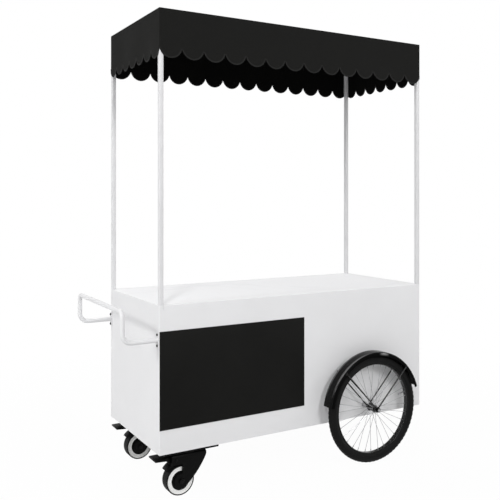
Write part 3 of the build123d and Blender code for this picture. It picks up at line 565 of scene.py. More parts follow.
def softened(node, width, segments=2, crease=32.0, pick=None):
    """A CAD node's mesh with its triangles joined and its sharp edges, or those picked, rounded off."""
    flat_angle = math.radians(0.5)
    shell = bmesh.new()
    shell.from_mesh(NODES[node].data)
    bmesh.ops.remove_doubles(shell, verts=shell.verts, dist=SAME_POINT)
    bmesh.ops.dissolve_limit(shell, angle_limit=flat_angle, verts=shell.verts, edges=shell.edges)

    def is_sharp(edge):
        return len(edge.link_faces) == 2 and edge.calc_face_angle() > math.radians(crease)

    sharp = [edge for edge in shell.edges if is_sharp(edge) and (not pick or pick(edge))]
    if width:
        how = {"segments": segments, "profile": 0.5, "affect": "EDGES", "clamp_overlap": True}
        bmesh.ops.bevel(shell, geom=sharp, offset=width, **how)
    mesh = bpy.data.meshes.new(node)
    shell.to_mesh(mesh)
    shell.free()
    return smoothed(mesh, crease)


# Pieces on the frame


def placed(name, data):
    """A new object in the scene."""
    made = bpy.data.objects.new(name, data)
    bpy.context.scene.collection.objects.link(made)
    return made


def middle_of(node):
    low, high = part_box(node)
    return (low + high) / 2


def add_piece(name, mesh, node=None, material=None, slot=None, body=None):
    """Makes a finished mesh a piece that stands for a CAD node, or one more piece on a body."""
    slot = slot or SLOT_OF[node]
    if not mesh.materials:
        mesh.materials.append(material or slot_finish(slot))
    piece = placed(name, mesh)
    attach(piece, body or BODY_OF[node])
    if node:
        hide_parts(node)
    return piece


def keep_node(node):
    """A CAD node whose shape is right gets its finish and stays."""
    materials = NODES[node].data.materials
    for k in range(len(materials)):
        materials[k] = slot_finish(SLOT_OF[node])


def soften_node(node, width, **how):
    """Replaces a CAD node by its copy with joined triangles and rounded edges."""
    add_piece(f"{node}_finished", softened(node, width, **how), node)


# Geometry Nodes for what repeats


class Pattern:
    """A geometry tree with named inputs, which turns a host object into a plain mesh."""

    def __init__(self, name, inputs):
        self.tree = bpy.data.node_groups.new(name, "GeometryNodeTree")
        self.net = Net(self.tree)
        face = self.tree.interface
        for label, kind in {"Geometry": "Geometry", **inputs, "Material": "Material"}.items():
            face.new_socket(label, in_out="INPUT", socket_type=f"NodeSocket{kind}")
        face.new_socket("Geometry", in_out="OUTPUT", socket_type="NodeSocketGeometry")
        self.source = self.net.node("NodeGroupInput")

    def given(self, label):
        return self.source.beside(label)

    def attribute(self, name):
        kind = {"data_type": "FLOAT_VECTOR"}
        return self.net.node("GeometryNodeInputNamedAttribute", kind, {"Name": name}, output="Attribute")

    def planted(self, points, shape, turn, scale):
        """A copy of a shape at each point."""
        sockets = {"Points": points, "Instance": shape, "Rotation": turn, "Scale": scale}
        return self.net.node("GeometryNodeInstanceOnPoints", inputs=sockets)

    def close(self, *instances):
        """Makes the instances real, gives them their material and ends the tree."""
        joined = self.net.node("GeometryNodeJoinGeometry", inputs={0: list(instances)})
        real = self.net.node("GeometryNodeRealizeInstances", inputs={0: joined})
        sockets = {"Geometry": real, "Material": self.given("Material")}
        dressed = self.net.node("GeometryNodeSetMaterial", inputs=sockets)
        self.net.node("NodeGroupOutput", inputs={0: dressed})
        return self

    def bake(self, host_mesh, values, crease=35.0):
        """The plain mesh that the tree makes of a host mesh."""
        host = placed(self.tree.name, host_mesh)
        modifier = host.modifiers.new(self.tree.name, "NODES")
        modifier.node_group = self.tree
        for item in self.tree.interface.items_tree:
            if item.in_out == "INPUT" and item.name in values:
                modifier[item.identifier] = values[item.name]
        depsgraph = bpy.context.evaluated_depsgraph_get()
        mesh = bpy.data.meshes.new_from_object(host.evaluated_get(depsgraph), depsgraph=depsgraph)
        host.modifiers.remove(modifier)
        bpy.data.objects.remove(host)
        return smoothed(mesh, crease)


def copies_pattern():
    """A small shape at every point, turned by the point's own angles."""
    pattern = Pattern("Copies", {"Shape": "Object"})
    net = pattern.net
    shape = net.node("GeometryNodeObjectInfo", inputs={"Object": pattern.given("Shape")}, output="Geometry")
    turn = net.node("FunctionNodeEulerToRotation", inputs={0: pattern.attribute("turn")})
    return pattern.close(pattern.planted(pattern.given("Geometry"), shape, turn, EVEN))


def spoke_pattern():
    """Wire spokes from the hub to the rim, each with a head at the hub and a nipple at the rim."""
    inputs = ("Spoke Radius", "Head Radius", "Nipple Radius", "Nipple Length")
    pattern = Pattern("Spokes", dict.fromkeys(inputs, "Float"))
    net = pattern.net
    reach = pattern.attribute("reach")
    long = net.length_of(reach)
    turn = net.node("FunctionNodeAlignRotationToVector", {"axis": "Z"}, {"Vector": reach})

    def bar(radius, depth):
        """A round bar that stands on its point."""
        sockets = {"Vertices": 8, "Radius": radius, "Depth": depth}
        solid = net.node("GeometryNodeMeshCylinder", inputs=sockets)
        half = net.vector(0.0, 0.0, depth / 2.0)
        return net.node("GeometryNodeTransform", inputs={"Geometry": solid, "Translation": half})

    hub_ends = pattern.given("Geometry")
    unit_wire = bar(pattern.given("Spoke Radius"), 1.0)
    wire = pattern.planted(hub_ends, unit_wire, turn, net.vector(1.0, 1.0, long))
    sockets = {"Segments": 10, "Rings": 6, "Radius": pattern.given("Head Radius")}
    head = pattern.planted(hub_ends, net.node("GeometryNodeMeshUVSphere", inputs=sockets), turn, EVEN)
    share = 1.0 - pattern.given("Nipple Length") / long
    shift = net.node("ShaderNodeVectorMath", {"operation": "SCALE"}, {0: reach, "Scale": share})
    rim_ends = net.node("GeometryNodeSetPosition", inputs={"Geometry": hub_ends, "Offset": shift})
    sleeve = bar(pattern.given("Nipple Radius"), pattern.given("Nipple Length"))
    return pattern.close(wire, head, pattern.planted(rim_ends, sleeve, turn, EVEN))


def stitch_pattern():
    """Short stitches along every line of the host."""
    inputs = ("Stitch Length", "Pitch", "Thread Radius")
    pattern = Pattern("Stitches", dict.fromkeys(inputs, "Float"))
    net = pattern.net
    line = net.node("GeometryNodeMeshToCurve", inputs={"Mesh": pattern.given("Geometry")})
    spacing = {"Curve": line, "Length": pattern.given("Pitch")}
    spaced = net.node("GeometryNodeCurveToPoints", {"mode": "LENGTH"}, spacing)
    loop = net.node("GeometryNodeMeshUVSphere", inputs={"Segments": 6, "Rings": 4, "Radius": 1.0})
    radius = pattern.given("Thread Radius")
    size = net.vector(radius, radius, pattern.given("Stitch Length") / 2.0)
    return pattern.close(pattern.planted(spaced, loop, spaced.beside("Rotation"), size))


def point_mesh(name, points, attribute, vectors):
    """Loose points, each with one vector of its own."""
    mesh = bpy.data.meshes.new(name)
    mesh.from_pydata([tuple(point) for point in points], [], [])
    layer = mesh.attributes.new(attribute, "FLOAT_VECTOR", "POINT")
    layer.data.foreach_set("vector", [number for vector in vectors for number in vector])
    return mesh


def copies(shape_mesh, places, material):
    """One mesh with a copy of a small shape at each place, given as a matrix."""
    shape = bpy.data.objects.new("copied_shape", shape_mesh)
    points = [place.translation for place in places]
    host = point_mesh("places", points, "turn", [place.to_euler() for place in places])
    mesh = copies_pattern().bake(host, {"Shape": shape, "Material": material})
    bpy.data.objects.remove(shape)
    return mesh


def facing(place, outward, upward=UP):
    """A matrix at a place, with Z outward and X as near as can be to upward."""
    z = Vector(outward).normalized()
    x = (upward - z * upward.dot(z)).normalized()
    turn = Matrix((x, z.cross(x), z)).transposed()
    return Matrix.Translation(place) @ turn.to_4x4()


def button_head(radius, height):
    """A domed screw head with a six-sided socket, standing on its seat."""
    dome = ((0.9, 0.0), (1.0, 0.12), (0.97, 0.45), (0.84, 0.8), (0.62, 1.0))
    socket = ((0.44, 1.0), (0.42, 0.4))
    sides = 24
    turns = [2 * math.pi * k / sides for k in range(sides)]

    def hexagon(turn):
        return 1.0 / math.cos(turn % (math.pi / 3) - math.pi / 6)

    def ring(share, up, outline):
        row = []
        for turn in turns:
            reach = radius * share * outline(turn)
            row.append(Vector((reach * math.cos(turn), reach * math.sin(turn), height * up)))
        return row

    rows = [ring(share, up, lambda turn: 1.0) for share, up in dome]
    rows += [ring(share, up, hexagon) for share, up in socket]
    return Shape().closed(rows).mesh("button_head", crease=30.0)


# Operators, one for each group of pieces


class CART_OT_cabinet(bpy.types.Operator):
    """Gives the cabinet, its counter, black panel and poles their edges and finishes"""

    bl_idname = "cart.cabinet"
    bl_label = "Cabinet and Poles"

    touching = 0.1 * MM
    long_edge = 100 * MM
    board_edge = 0.4 * MM
    panels = ("front_panel", "back_panel", "left_end_panel", "right_end_panel", "floor_panel")

    def off_end(self, point):
        """How far a point is from the nearer end of the cabinet."""
        return min(abs(point.x - self.low.x), abs(point.x - self.high.x))

    def off_side(self, point):
        """How far a point is from the front or the back of the cabinet."""
        return abs(abs(point.y) - self.high.y)

    def along_tube(self, edge):
        return edge.calc_length() > self.long_edge

    def at_corner(self, edge):
        start, end = [vert.co for vert in edge.verts]
        middle = (start + end) / 2
        upright = abs((start - end).normalized().z) > 0.99
        return upright and self.off_end(middle) + self.off_side(middle) < self.touching

    def on_rim(self, edge):
        level = all(abs(vert.co.z - self.high.z) < self.touching for vert in edge.verts)
        return level and self.along_tube(edge)

    def on_outside(self, edge):
        ends = [vert.co for vert in edge.verts]
        return any(all(off(end) < self.touching for end in ends) for off in (self.off_end, self.off_side))

    def execute(self, context):
        self.low, self.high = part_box("counter_top")
        top = self.high.z
        rounded = {"width": sizes().paint_edge, "segments": 3}
        paint, laminate = slot_finish("white_paint"), slot_finish("white_panel")
        posts = softened("cabinet_frame", pick=self.at_corner, **rounded)
        add_piece("cabinet_frame_finished", posts, "cabinet_frame", laminate)
        slab = softened("counter_top", pick=self.on_rim, **rounded)
        share_faces(slab, [slot_finish("marble_top"), laminate], lambda face: abs(face.normal.z) < 0.5)
        add_piece("counter_top_finished", slab, "counter_top")
        for node in [name for name in NODES if name.startswith("pole_")]:
            pole = softened(node, pick=self.along_tube, **rounded)
            cut_level(pole, top)
            share_faces(pole, [paint, laminate], lambda face: face.center.z < top)
            add_piece(f"{node}_finished", pole, node)
        soften_node("canopy_frame", sizes().paint_edge, pick=self.on_outside)
        soften_node("sign_panel", self.board_edge)
        for node in self.panels:
            keep_node(node)
        return {"FINISHED"}


# A column of the valance: its foot on the roof's edge, its way out, how far it hangs, its place round
# the roof and how far it is from a corner
Column = namedtuple("Column", "foot out drop round_by calm")


class CART_OT_canopy(bpy.types.Operator):
    """Sews the canopy: one sheet over the rails with a scalloped valance, bound and stitched"""

    bl_idname = "cart.canopy"
    bl_label = "Canopy"

    lobe_steps = 12
    fold_steps = 4
    # Tilt range of the faces round the fold; they get the dark lining as a painted shade line along the
    # roof's edge.
    painted_shade_fold_tilt = (0.1, 0.98)
    drop_steps = 18
    corner_shares = (0.25, 0.5, 0.75)
    roof_bays = 3
    sag_power = 0.9
    waves = ((1.0, 17.3, 0.7), (0.6, 43.0, 2.1))
    corner_calm = 120 * MM
    puff_height = 75 * MM
    tape_proud = 0.5 * MM
    tape_lift = 0.55 * MM
    thread_lift = 0.1 * MM
    seam_drop = 16 * MM
    seam_gap = 6 * MM
    corner_runs = 12

    def prepare(self):
        self.low, self.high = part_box("canopy_cover")
        self.fold = sizes().cloth_fold
        self.bend = self.fold * math.pi / 2
        self.drop = self.high.z - self.low.z
        rail_low, rail_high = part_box("canopy_frame")
        pole_low, pole_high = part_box("pole_front_left")
        tube_width = pole_high.x - pole_low.x
        first = rail_low.x + tube_width / 2
        span = rail_high.x - rail_low.x - tube_width
        self.bars = [first + span * k / self.roof_bays for k in range(self.roof_bays + 1)]
        self.rails = (rail_low.y + tube_width, rail_high.y - tube_width)

    def lobe_radius(self, half):
        """Radius of a lobe's arc, from half its width."""
        depth = sizes().lobe_depth
        return (half * half + depth * depth) / (2 * depth)

    def side_steps(self, long, lobes):
        """Places of the columns along one side, closer together beside the cusps."""
        half = long / lobes / 2
        radius = self.lobe_radius(half)
        widest = math.asin(half / radius)
        steps = []
        for lobe in range(lobes):
            for k in range(self.lobe_steps):
                turn = widest * (2 * k / self.lobe_steps - 1)
                steps.append(half * (2 * lobe + 1) + radius * math.sin(turn))
        inner = [step for step in steps if self.fold < step < long - self.fold]
        return [self.fold, *inner, long - self.fold]

    def edge_drop(self, place, long, lobes):
        """How far the scalloped edge hangs below the top at a place along a side."""
        half = long / lobes / 2
        off = (place % (2 * half)) - half
        radius = self.lobe_radius(half)
        return self.drop - (radius - math.sqrt(max(radius * radius - off * off, 0.0)))

    def columns(self):
        """The columns of the valance in their order round the roof, back to the first."""
        ends = ((self.low.x, self.low.y), (self.high.x, self.low.y))
        ends += ((self.high.x, self.high.y), (self.low.x, self.high.y))
        corners = [Vector((*end, 0.0)) for end in ends]
        lobes = [sizes().lobes_long, sizes().lobes_short] * 2
        made = []
        round_by = 0.0
        for k, start in enumerate(corners):
            end = corners[(k + 1) % len(corners)]
            long = (end - start).length
            ahead = (end - start).normalized()
            out = Vector((ahead.y, -ahead.x, 0.0))
            inset = start - out * self.fold
            for place in self.side_steps(long, lobes[k]):
                drop = self.edge_drop(place, long, lobes[k])
                calm = min(place, long - place)
                made.append(Column(inset + ahead * place, out, drop, round_by + place, calm))
            round_by += long
            corner = end - out * self.fold - ahead * self.fold
            for share in self.corner_shares:
                angle = share * math.pi / 2
                way = out * math.cos(angle) + ahead * math.sin(angle)
                off = (2 * share - 1) * self.fold
                drop = self.edge_drop(abs(off), long, lobes[k])
                made.append(Column(corner, way, drop, round_by + off, 0.0))
        return made + [made[0]._replace(round_by=round_by + self.fold)]

    def sag(self, x, y):
        """How far the roof hangs below the rails."""
        left = max((bar for bar in self.bars if bar <= x), default=None)
        right = min((bar for bar in self.bars if bar > x), default=None)
        if left is None or right is None or not self.rails[0] < y < self.rails[1]:
            return 0.0
        along = (x - left) / (right - left)
        across = (y - self.rails[0]) / (self.rails[1] - self.rails[0])
        share = math.sin(math.pi * along) * math.sin(math.pi * across)
        return sizes().cloth_sag * share ** self.sag_power

    def flutter(self, column, down):
        """How far the valance stands out, more towards its free edge and less at the corners."""
        share = min(column.calm / self.corner_calm, 1.0)
        hold = share * share * (3 - 2 * share)
        free = max(down / self.drop, 0.0) ** 2
        wave = sum(high * math.sin(column.round_by * pace + start) for high, pace, start in self.waves)
        lobe = 1.0 - (self.drop - column.drop) / sizes().lobe_depth
        near_edge = max(1.0 - (column.drop - down) / self.puff_height, 0.0) ** 2
        return sizes().cloth_flutter * hold * free * wave + sizes().cloth_puff * lobe * near_edge

    def hanging(self, column, down):
        """A point of the valance that far below the roof, round the fold and then straight down."""
        if down < self.bend:
            angle = down / self.fold
            reach = self.fold * math.sin(angle)
            z = self.high.z - self.fold * (1 - math.cos(angle))
        else:
            below = self.fold + down - self.bend
            reach = self.fold + self.flutter(column, below)
            z = self.high.z - below
        return Vector((column.foot.x + column.out.x * reach, column.foot.y + column.out.y * reach, z))

    def cut_length(self, column):
        """Length of a column of cloth from the roof's edge to the scalloped edge."""
        return column.drop - self.fold + self.bend

    def sheet(self, columns):
        long, wide = self.high.x - self.low.x, self.high.y - self.low.y
        xs = [self.low.x + step for step in self.side_steps(long, sizes().lobes_long)]
        ys = [self.low.y + step for step in self.side_steps(wide, sizes().lobes_short)]
        roof = [[Vector((x, y, self.high.z - self.sag(x, y))) for x in xs] for y in ys]
        shape = Shape().grid(roof, flat=[[(point.x, point.y) for point in row] for row in roof])
        rows, flat = [], []
        for k in range(self.fold_steps + self.drop_steps + 1):
            row, places = [], []
            for column in columns:
                down = self.bend * k / self.fold_steps
                if k >= self.fold_steps:
                    share = (k - self.fold_steps) / self.drop_steps
                    down = self.bend + (self.cut_length(column) - self.bend) * share
                row.append(self.hanging(column, down))
                places.append((column.round_by, -down))
            rows.append(row)
            flat.append(places)
        return shape.grid(rows, flat=flat).mesh("canopy_sheet", crease=60.0)

    def edge_lines(self, columns, inward):
        """Lines along the scalloped edge, that far up into the cloth, one for each lobe."""
        ring = [self.hanging(column, self.cut_length(column)) for column in columns[:-1]]
        rise = [ring[k].z - ring[k - 1].z for k in range(len(ring))]
        cusps = [k for k in range(1, len(ring)) if rise[k] > 0.0 >= rise[(k + 1) % len(ring)]]
        lines = []
        for start, end in zip(cusps, [*cusps[1:], cusps[0] + len(ring)]):
            run = [n % len(ring) for n in range(start, end + 1)]
            line = []
            for k, n in enumerate(run):
                after, before = run[min(k + 1, len(run) - 1)], run[max(k - 1, 0)]
                up = (ring[after] - ring[before]).normalized().cross(columns[n].out).normalized()
                up = -up if up.z < 0 else up
                line.append((ring[n] + up * inward, columns[n].out, up))
            lines.append(line)
        return lines

    def binding(self, columns):
        """A folded tape over the scalloped edge of each lobe."""
        wide, cloth, proud = sizes().binding, sizes().cloth, self.tape_proud
        section = [
            (wide, proud * 0.4), (wide * 0.9, proud), (0.0, proud), (-proud, -cloth * 0.2),
            (-proud, -cloth * 0.8), (0.0, -cloth - proud), (wide * 0.9, -cloth - proud),
            (wide, -cloth - proud * 0.4),
        ]
        shape = Shape()
        for line in self.edge_lines(columns, 0.0):
            rows = [[point + up * along + out * off for along, off in section] for point, out, up in line]
            shape.closed(rows)
        return shape.mesh("canopy_binding", crease=50.0)

    def stitched(self, column, down):
        """A point on the thread of a seam."""
        return self.hanging(column, down) + column.out * self.thread_lift

    def seams(self, columns):
        """Lines of stitches: along the binding, round the roof's edge and down each corner."""
        tapes = self.edge_lines(columns, sizes().binding * 0.5)
        lines = [[point + out * self.tape_lift for point, out, _ in tape] for tape in tapes]
        for down in (self.seam_drop, self.seam_drop + self.seam_gap):
            lines.append([self.stitched(column, down) for column in columns])
        corners = [k for k in range(1, len(columns)) if columns[k].calm == 0.0 < columns[k - 1].calm]
        for k in corners:
            for near in (columns[k - 2], columns[(k + 4) % len(columns)]):
                top, bottom = self.seam_drop * 2, self.cut_length(near) - sizes().binding
                downs = [top + (bottom - top) * n / self.corner_runs for n in range(self.corner_runs + 1)]
                lines.append([self.stitched(near, down) for down in downs])
        points, edges = [], []
        for line in lines:
            first = len(points)
            points += [tuple(point) for point in line]
            edges += [(first + k, first + k + 1) for k in range(len(line) - 1)]
        host = bpy.data.meshes.new("seams")
        host.from_pydata(points, edges, [])
        return stitch_pattern().bake(host, {
            "Stitch Length": sizes().stitch, "Pitch": sizes().stitch_pitch,
            "Thread Radius": sizes().thread / 2, "Material": finish("canopy_thread"),
        })

    def execute(self, context):
        self.prepare()
        columns = self.columns()
        # The inner side of the sheet and the round of the fold take the darker lining as painted shade.
        lining = finish("canopy_lining")
        cloth = self.sheet(columns)
        steep, level = self.painted_shade_fold_tilt
        sides = [slot_finish("canopy_fabric"), lining, lining]
        share_faces(cloth, sides, lambda face: steep < face.normal.z < level)
        sheet = add_piece("canopy_sheet", cloth, "canopy_cover")
        wall = sheet.modifiers.new("Cloth", "SOLIDIFY")
        wall.thickness = sizes().cloth
        wall.offset = -1.0
        wall.material_offset = 1
        sewn = {"slot": "canopy_fabric", "body": "cart"}
        tape = finish("binding_tape")
        binding = add_piece("canopy_binding", self.binding(columns), material=tape, **sewn)
        stitches = add_piece("canopy_stitches", self.seams(columns), **sewn)
        pairs = zip(columns, columns[1:])
        hang = sum((a.drop + b.drop) / 2 * (b.round_by - a.round_by) for a, b in pairs)
        return {"FINISHED"}


class CART_OT_handle(bpy.types.Operator):
    """Bends the push handle, welds it to its flanges and bolts it on"""

    bl_idname = "cart.handle"
    bl_label = "Push Handle"

    radius = 10 * MM
    low_bend = 38 * MM
    high_bend = 24 * MM
    flange = 5 * MM
    flange_half = (10 * MM, 30 * MM)
    flange_corner = 3 * MM
    flange_rounds = ((0.8 * MM, 0.0), (0.2 * MM, 0.25 * MM), (0.0, 0.8 * MM))
    weld_steps = 96
    weld_sides = 8
    weld_ripples = 24
    weld_ripple = 0.16
    bolt_head = (5.5 * MM, 4 * MM)

    def execute(self, context):
        low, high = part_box("push_handle")
        foot_x = high.x - self.flange
        bar_x = low.x + self.radius
        side = high.y - self.flange_half[0]
        low_z, high_z = low.z + self.flange_half[1], high.z - self.radius
        half = [(foot_x, -side, low_z), (bar_x, -side, low_z), (bar_x, -side, high_z)]
        corners = [Vector(point) for point in half + [(x, -y, z) for x, y, z in reversed(half)]]
        bends = [self.low_bend, self.high_bend, self.high_bend, self.low_bend]
        shape = tube(Shape(), bent_path(corners, bends, steps=12), self.radius, sides=32)
        for y in (-side, side):
            self.add_flange(shape, foot_x, y, low_z)
            self.add_weld(shape, foot_x, y, low_z)
        mesh = shape.mesh("push_handle_tube", crease=40.0)
        add_piece("push_handle_tube", mesh, "push_handle", finish("white_dip_coat"))
        bolt_low, bolt_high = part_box("handle_bolts")
        radius, height = self.bolt_head
        heights = (bolt_low.z + radius, bolt_high.z - radius)
        places = [facing((foot_x, y, z), (-1, 0, 0)) for y in (-side, side) for z in heights]
        heads = copies(button_head(radius, height), places, slot_finish("black_bolts"))
        add_piece("handle_bolt_heads", heads, "handle_bolts")
        return {"FINISHED"}

    def add_flange(self, shape, x, y, z):
        """A flat plate with round corners and a small round on its outer edge."""
        corner = self.flange_corner
        half_y, half_z = [half - corner for half in self.flange_half]
        rows = []
        for depth, inset in ((self.flange, 0.0), *self.flange_rounds):
            row = []
            for degrees in range(0, 360, 15):
                turn = math.radians(degrees + 7.5)
                c, s = math.cos(turn), math.sin(turn)
                row.append(Vector((
                    x + depth,
                    y + math.copysign(half_y, c) + (corner - inset) * c,
                    z + math.copysign(half_z, s) + (corner - inset) * s,
                )))
            rows.append(row)
        shape.closed(rows)

    def add_weld(self, shape, x, y, z):
        """A rippled bead round the tube's foot."""
        rows = []
        for k in range(self.weld_steps):
            turn = 2 * math.pi * k / self.weld_steps
            thick = sizes().weld * (1.0 + self.weld_ripple * math.sin(turn * self.weld_ripples))
            row = []
            for n in range(self.weld_sides):
                lean = 2 * math.pi * n / self.weld_sides
                reach = self.radius + thick * math.cos(lean)
                off_x = thick * math.sin(lean)
                row.append(Vector((x + off_x, y + reach * math.cos(turn), z + reach * math.sin(turn))))
            rows.append(row)
        shape.grid(rows, ring_of_rows=True, ring_of_points=True)


class CART_OT_wheels(bpy.types.Operator):
    """Builds the two spoked wheels: tyre with tread, rim, spokes and hub"""

    bl_idname = "cart.wheels"
    bl_label = "Spoked Wheels"

    turned_steps = 180
    hub_steps = 72
    section = 21.75 * MM
    cap = (44, 0.25 * MM)
    wall_rings = ((84, 88, 92, 118, 122), 0.45 * MM)
    casing_degrees = range(0, 138, 2)
    bead = (4 * MM, 11 * MM)
    block_half = (6.5 * MM, 3.2 * MM)
    block_root = 0.8 * MM
    tread_rows = (
        (0.0, 0.0, 0.0), (17.0, 24.0, 0.4), (-17.0, -24.0, 0.4), (33.0, -24.0, 0.0), (-33.0, 24.0, 0.0),
    )
    rim_edge = 212.5 * MM
    rim_inner = 203.5 * MM
    rim_round = 5 * MM
    rim_half = 13.6 * MM
    rim_lip = (
        (-1.2, 13.9), (-0.3, 13.7), (0.0, 13.0), (-0.3, 12.0), (-1.4, 11.5), (-5.8, 11.5), (-6.0, 6.5),
        (-7.2, 4.5),
    )
    spoke_count = 32
    spoke_phase = 9.0
    spoke_circle = 15 * MM
    spoke_head = 0.9
    hub_offset = 17.5 * MM
    rim_reach = 204.4 * MM
    rim_offset = 2 * MM
    hub_half = (
        (10.55, 30.0), (11.7, 30.0), (12.3, 29.6), (12.5, 28.8), (12.5, 18.0), (13.2, 16.9), (17.2, 16.5),
        (17.8, 16.1), (18.0, 15.0), (17.8, 13.9), (17.2, 13.5), (13.4, 13.2), (12.3, 12.2), (11.7, 9.0),
        (11.5, 0.0),
    )
    bearing_edge = 0.4 * MM
    axle_edges = {"axle_nuts": 0.6 * MM, "cross_axle": 0.5 * MM, "axle_brackets": 1.0 * MM}

    def execute(self, context):
        for name in SIDES:
            node = f"wheel_{name}_"
            low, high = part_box(node + "tyre")
            self.centre = (low + high) / 2
            self.middle = (high.x - low.x) / 2 - self.section
            self.casing = self.section - sizes().tread_height
            add_piece(f"{node}casing", self.tyre(), node + "tyre")
            add_piece(f"{node}tread", self.tread(), slot="tyre_rubber", body=BODY_OF[node + "tyre"])
            ring = self.rim()
            share_faces(ring, [slot_finish("rim_black"), finish("polished_black_paint")], self.on_bed)
            add_piece(f"{node}rim_ring", ring, node + "rim")
            add_piece(f"{node}wires", self.spokes(), node + "spokes")
            hub = self.turned(metres(self.hub_half), "hub_shell", 30.0, self.hub_steps)
            add_piece(f"{node}hub_shell", hub, node + "hub")
            inner = softened(node + "inner_tube", 0.0)
            share_faces(inner, [slot_finish("tube_rubber"), slot_finish("zinc_steel")], self.on_valve)
            add_piece(f"{node}tube_and_valve", inner, node + "inner_tube")
            soften_node(node + "hub_bearings", self.bearing_edge)
        for node, width in self.axle_edges.items():
            soften_node(node, width)
        return {"FINISHED"}

    def turned(self, half, name, crease, steps):
        """A round piece of the wheel, from half of its section."""
        return lathe(Shape(), mirrored(half), self.centre, steps).mesh(name, crease)

    def reach(self, face):
        """How far a face is from the axle."""
        off = face.center - self.centre
        return Vector((off.x, off.z)).length

    def on_bed(self, face):
        """Picks the faces between the rim's shoulders, where the spokes end and the paint lies thickest."""
        return self.reach(face) < self.rim_inner + self.rim_round * 0.1

    def on_valve(self, face):
        return self.reach(face) < self.rim_edge

    def tyre(self):
        """Casing with a raised cap under the tread and fine rings on its walls."""
        cap_degrees, cap_height = self.cap
        ring_degrees, ring_height = self.wall_rings
        half = []
        for degrees in self.casing_degrees:
            bulge = cap_height if degrees < cap_degrees else 0.0
            if degrees in ring_degrees:
                bulge = ring_height
            half += arc(self.middle, 0.0, self.casing + bulge, [degrees])
        bead_drop, bead_half = self.bead
        half.append((self.rim_edge - bead_drop, bead_half))
        return self.turned(half[::-1], "tyre_casing", 50.0, self.turned_steps)

    def tread(self):
        """Rows of small slanted blocks round the casing."""
        long, wide = self.block_half
        high = sizes().tread_height
        rows = []
        for z, share in ((-self.block_root, 1.08), (high * 0.75, 0.94), (high * 0.95, 0.82)):
            x, y = long * share, wide * share
            rows.append([Vector((a * x, b * y, z)) for a, b in ((-1, -1), (1, -1), (1, 1), (-1, 1))])
        block = Shape().closed(rows).mesh("tread_block", crease=20.0)
        places = []
        for row, (degrees, slant, sink) in enumerate(self.tread_rows):
            lean = math.radians(degrees)
            for k in range(sizes().tread_blocks):
                turn = 2 * math.pi * (k + 0.5 * (row % 2)) / sizes().tread_blocks
                along = radial(turn + math.pi / 2)
                out = radial(turn) * math.cos(lean) + Vector((0.0, math.sin(lean), 0.0))
                spot = self.centre + radial(turn) * self.middle + out * (self.casing - sink * MM)
                places.append(facing(spot, out, along) @ Matrix.Rotation(math.radians(slant), 4, "Z"))
        return copies(block, places, slot_finish("tyre_rubber"))

    def rim(self):
        """A shallow rim with round shoulders and rolled lips."""
        shoulder = (self.rim_inner + self.rim_round, self.rim_half - self.rim_round, self.rim_round)
        half = [(self.rim_inner, 0.0), *arc(*shoulder, range(180, 89, -10))]
        half += [(self.rim_edge + r, y) for r, y in metres(self.rim_lip)]
        half.append((half[-1][0], 0.0))
        return self.turned(half, "rim_ring", 45.0, self.turned_steps)

    def spokes(self):
        """Straight wires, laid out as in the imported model."""
        points, reaches = [], []
        for k in range(self.spoke_count):
            side = 1 if k % 2 else -1
            way = radial(math.radians(self.spoke_phase + FULL_TURN * k / self.spoke_count))
            hub_end = way * self.spoke_circle + Vector((0.0, side * self.hub_offset, 0.0))
            rim_end = way * self.rim_reach + Vector((0.0, side * self.rim_offset, 0.0))
            points.append(self.centre + hub_end)
            reaches.append(rim_end - hub_end)
        host = point_mesh("spoke_ends", points, "reach", reaches)
        return spoke_pattern().bake(host, {
            "Spoke Radius": sizes().spoke / 2, "Head Radius": sizes().spoke * self.spoke_head,
            "Nipple Radius": sizes().nipple / 2, "Nipple Length": sizes().nipple_length,
            "Material": slot_finish("spoke_steel"),
        })


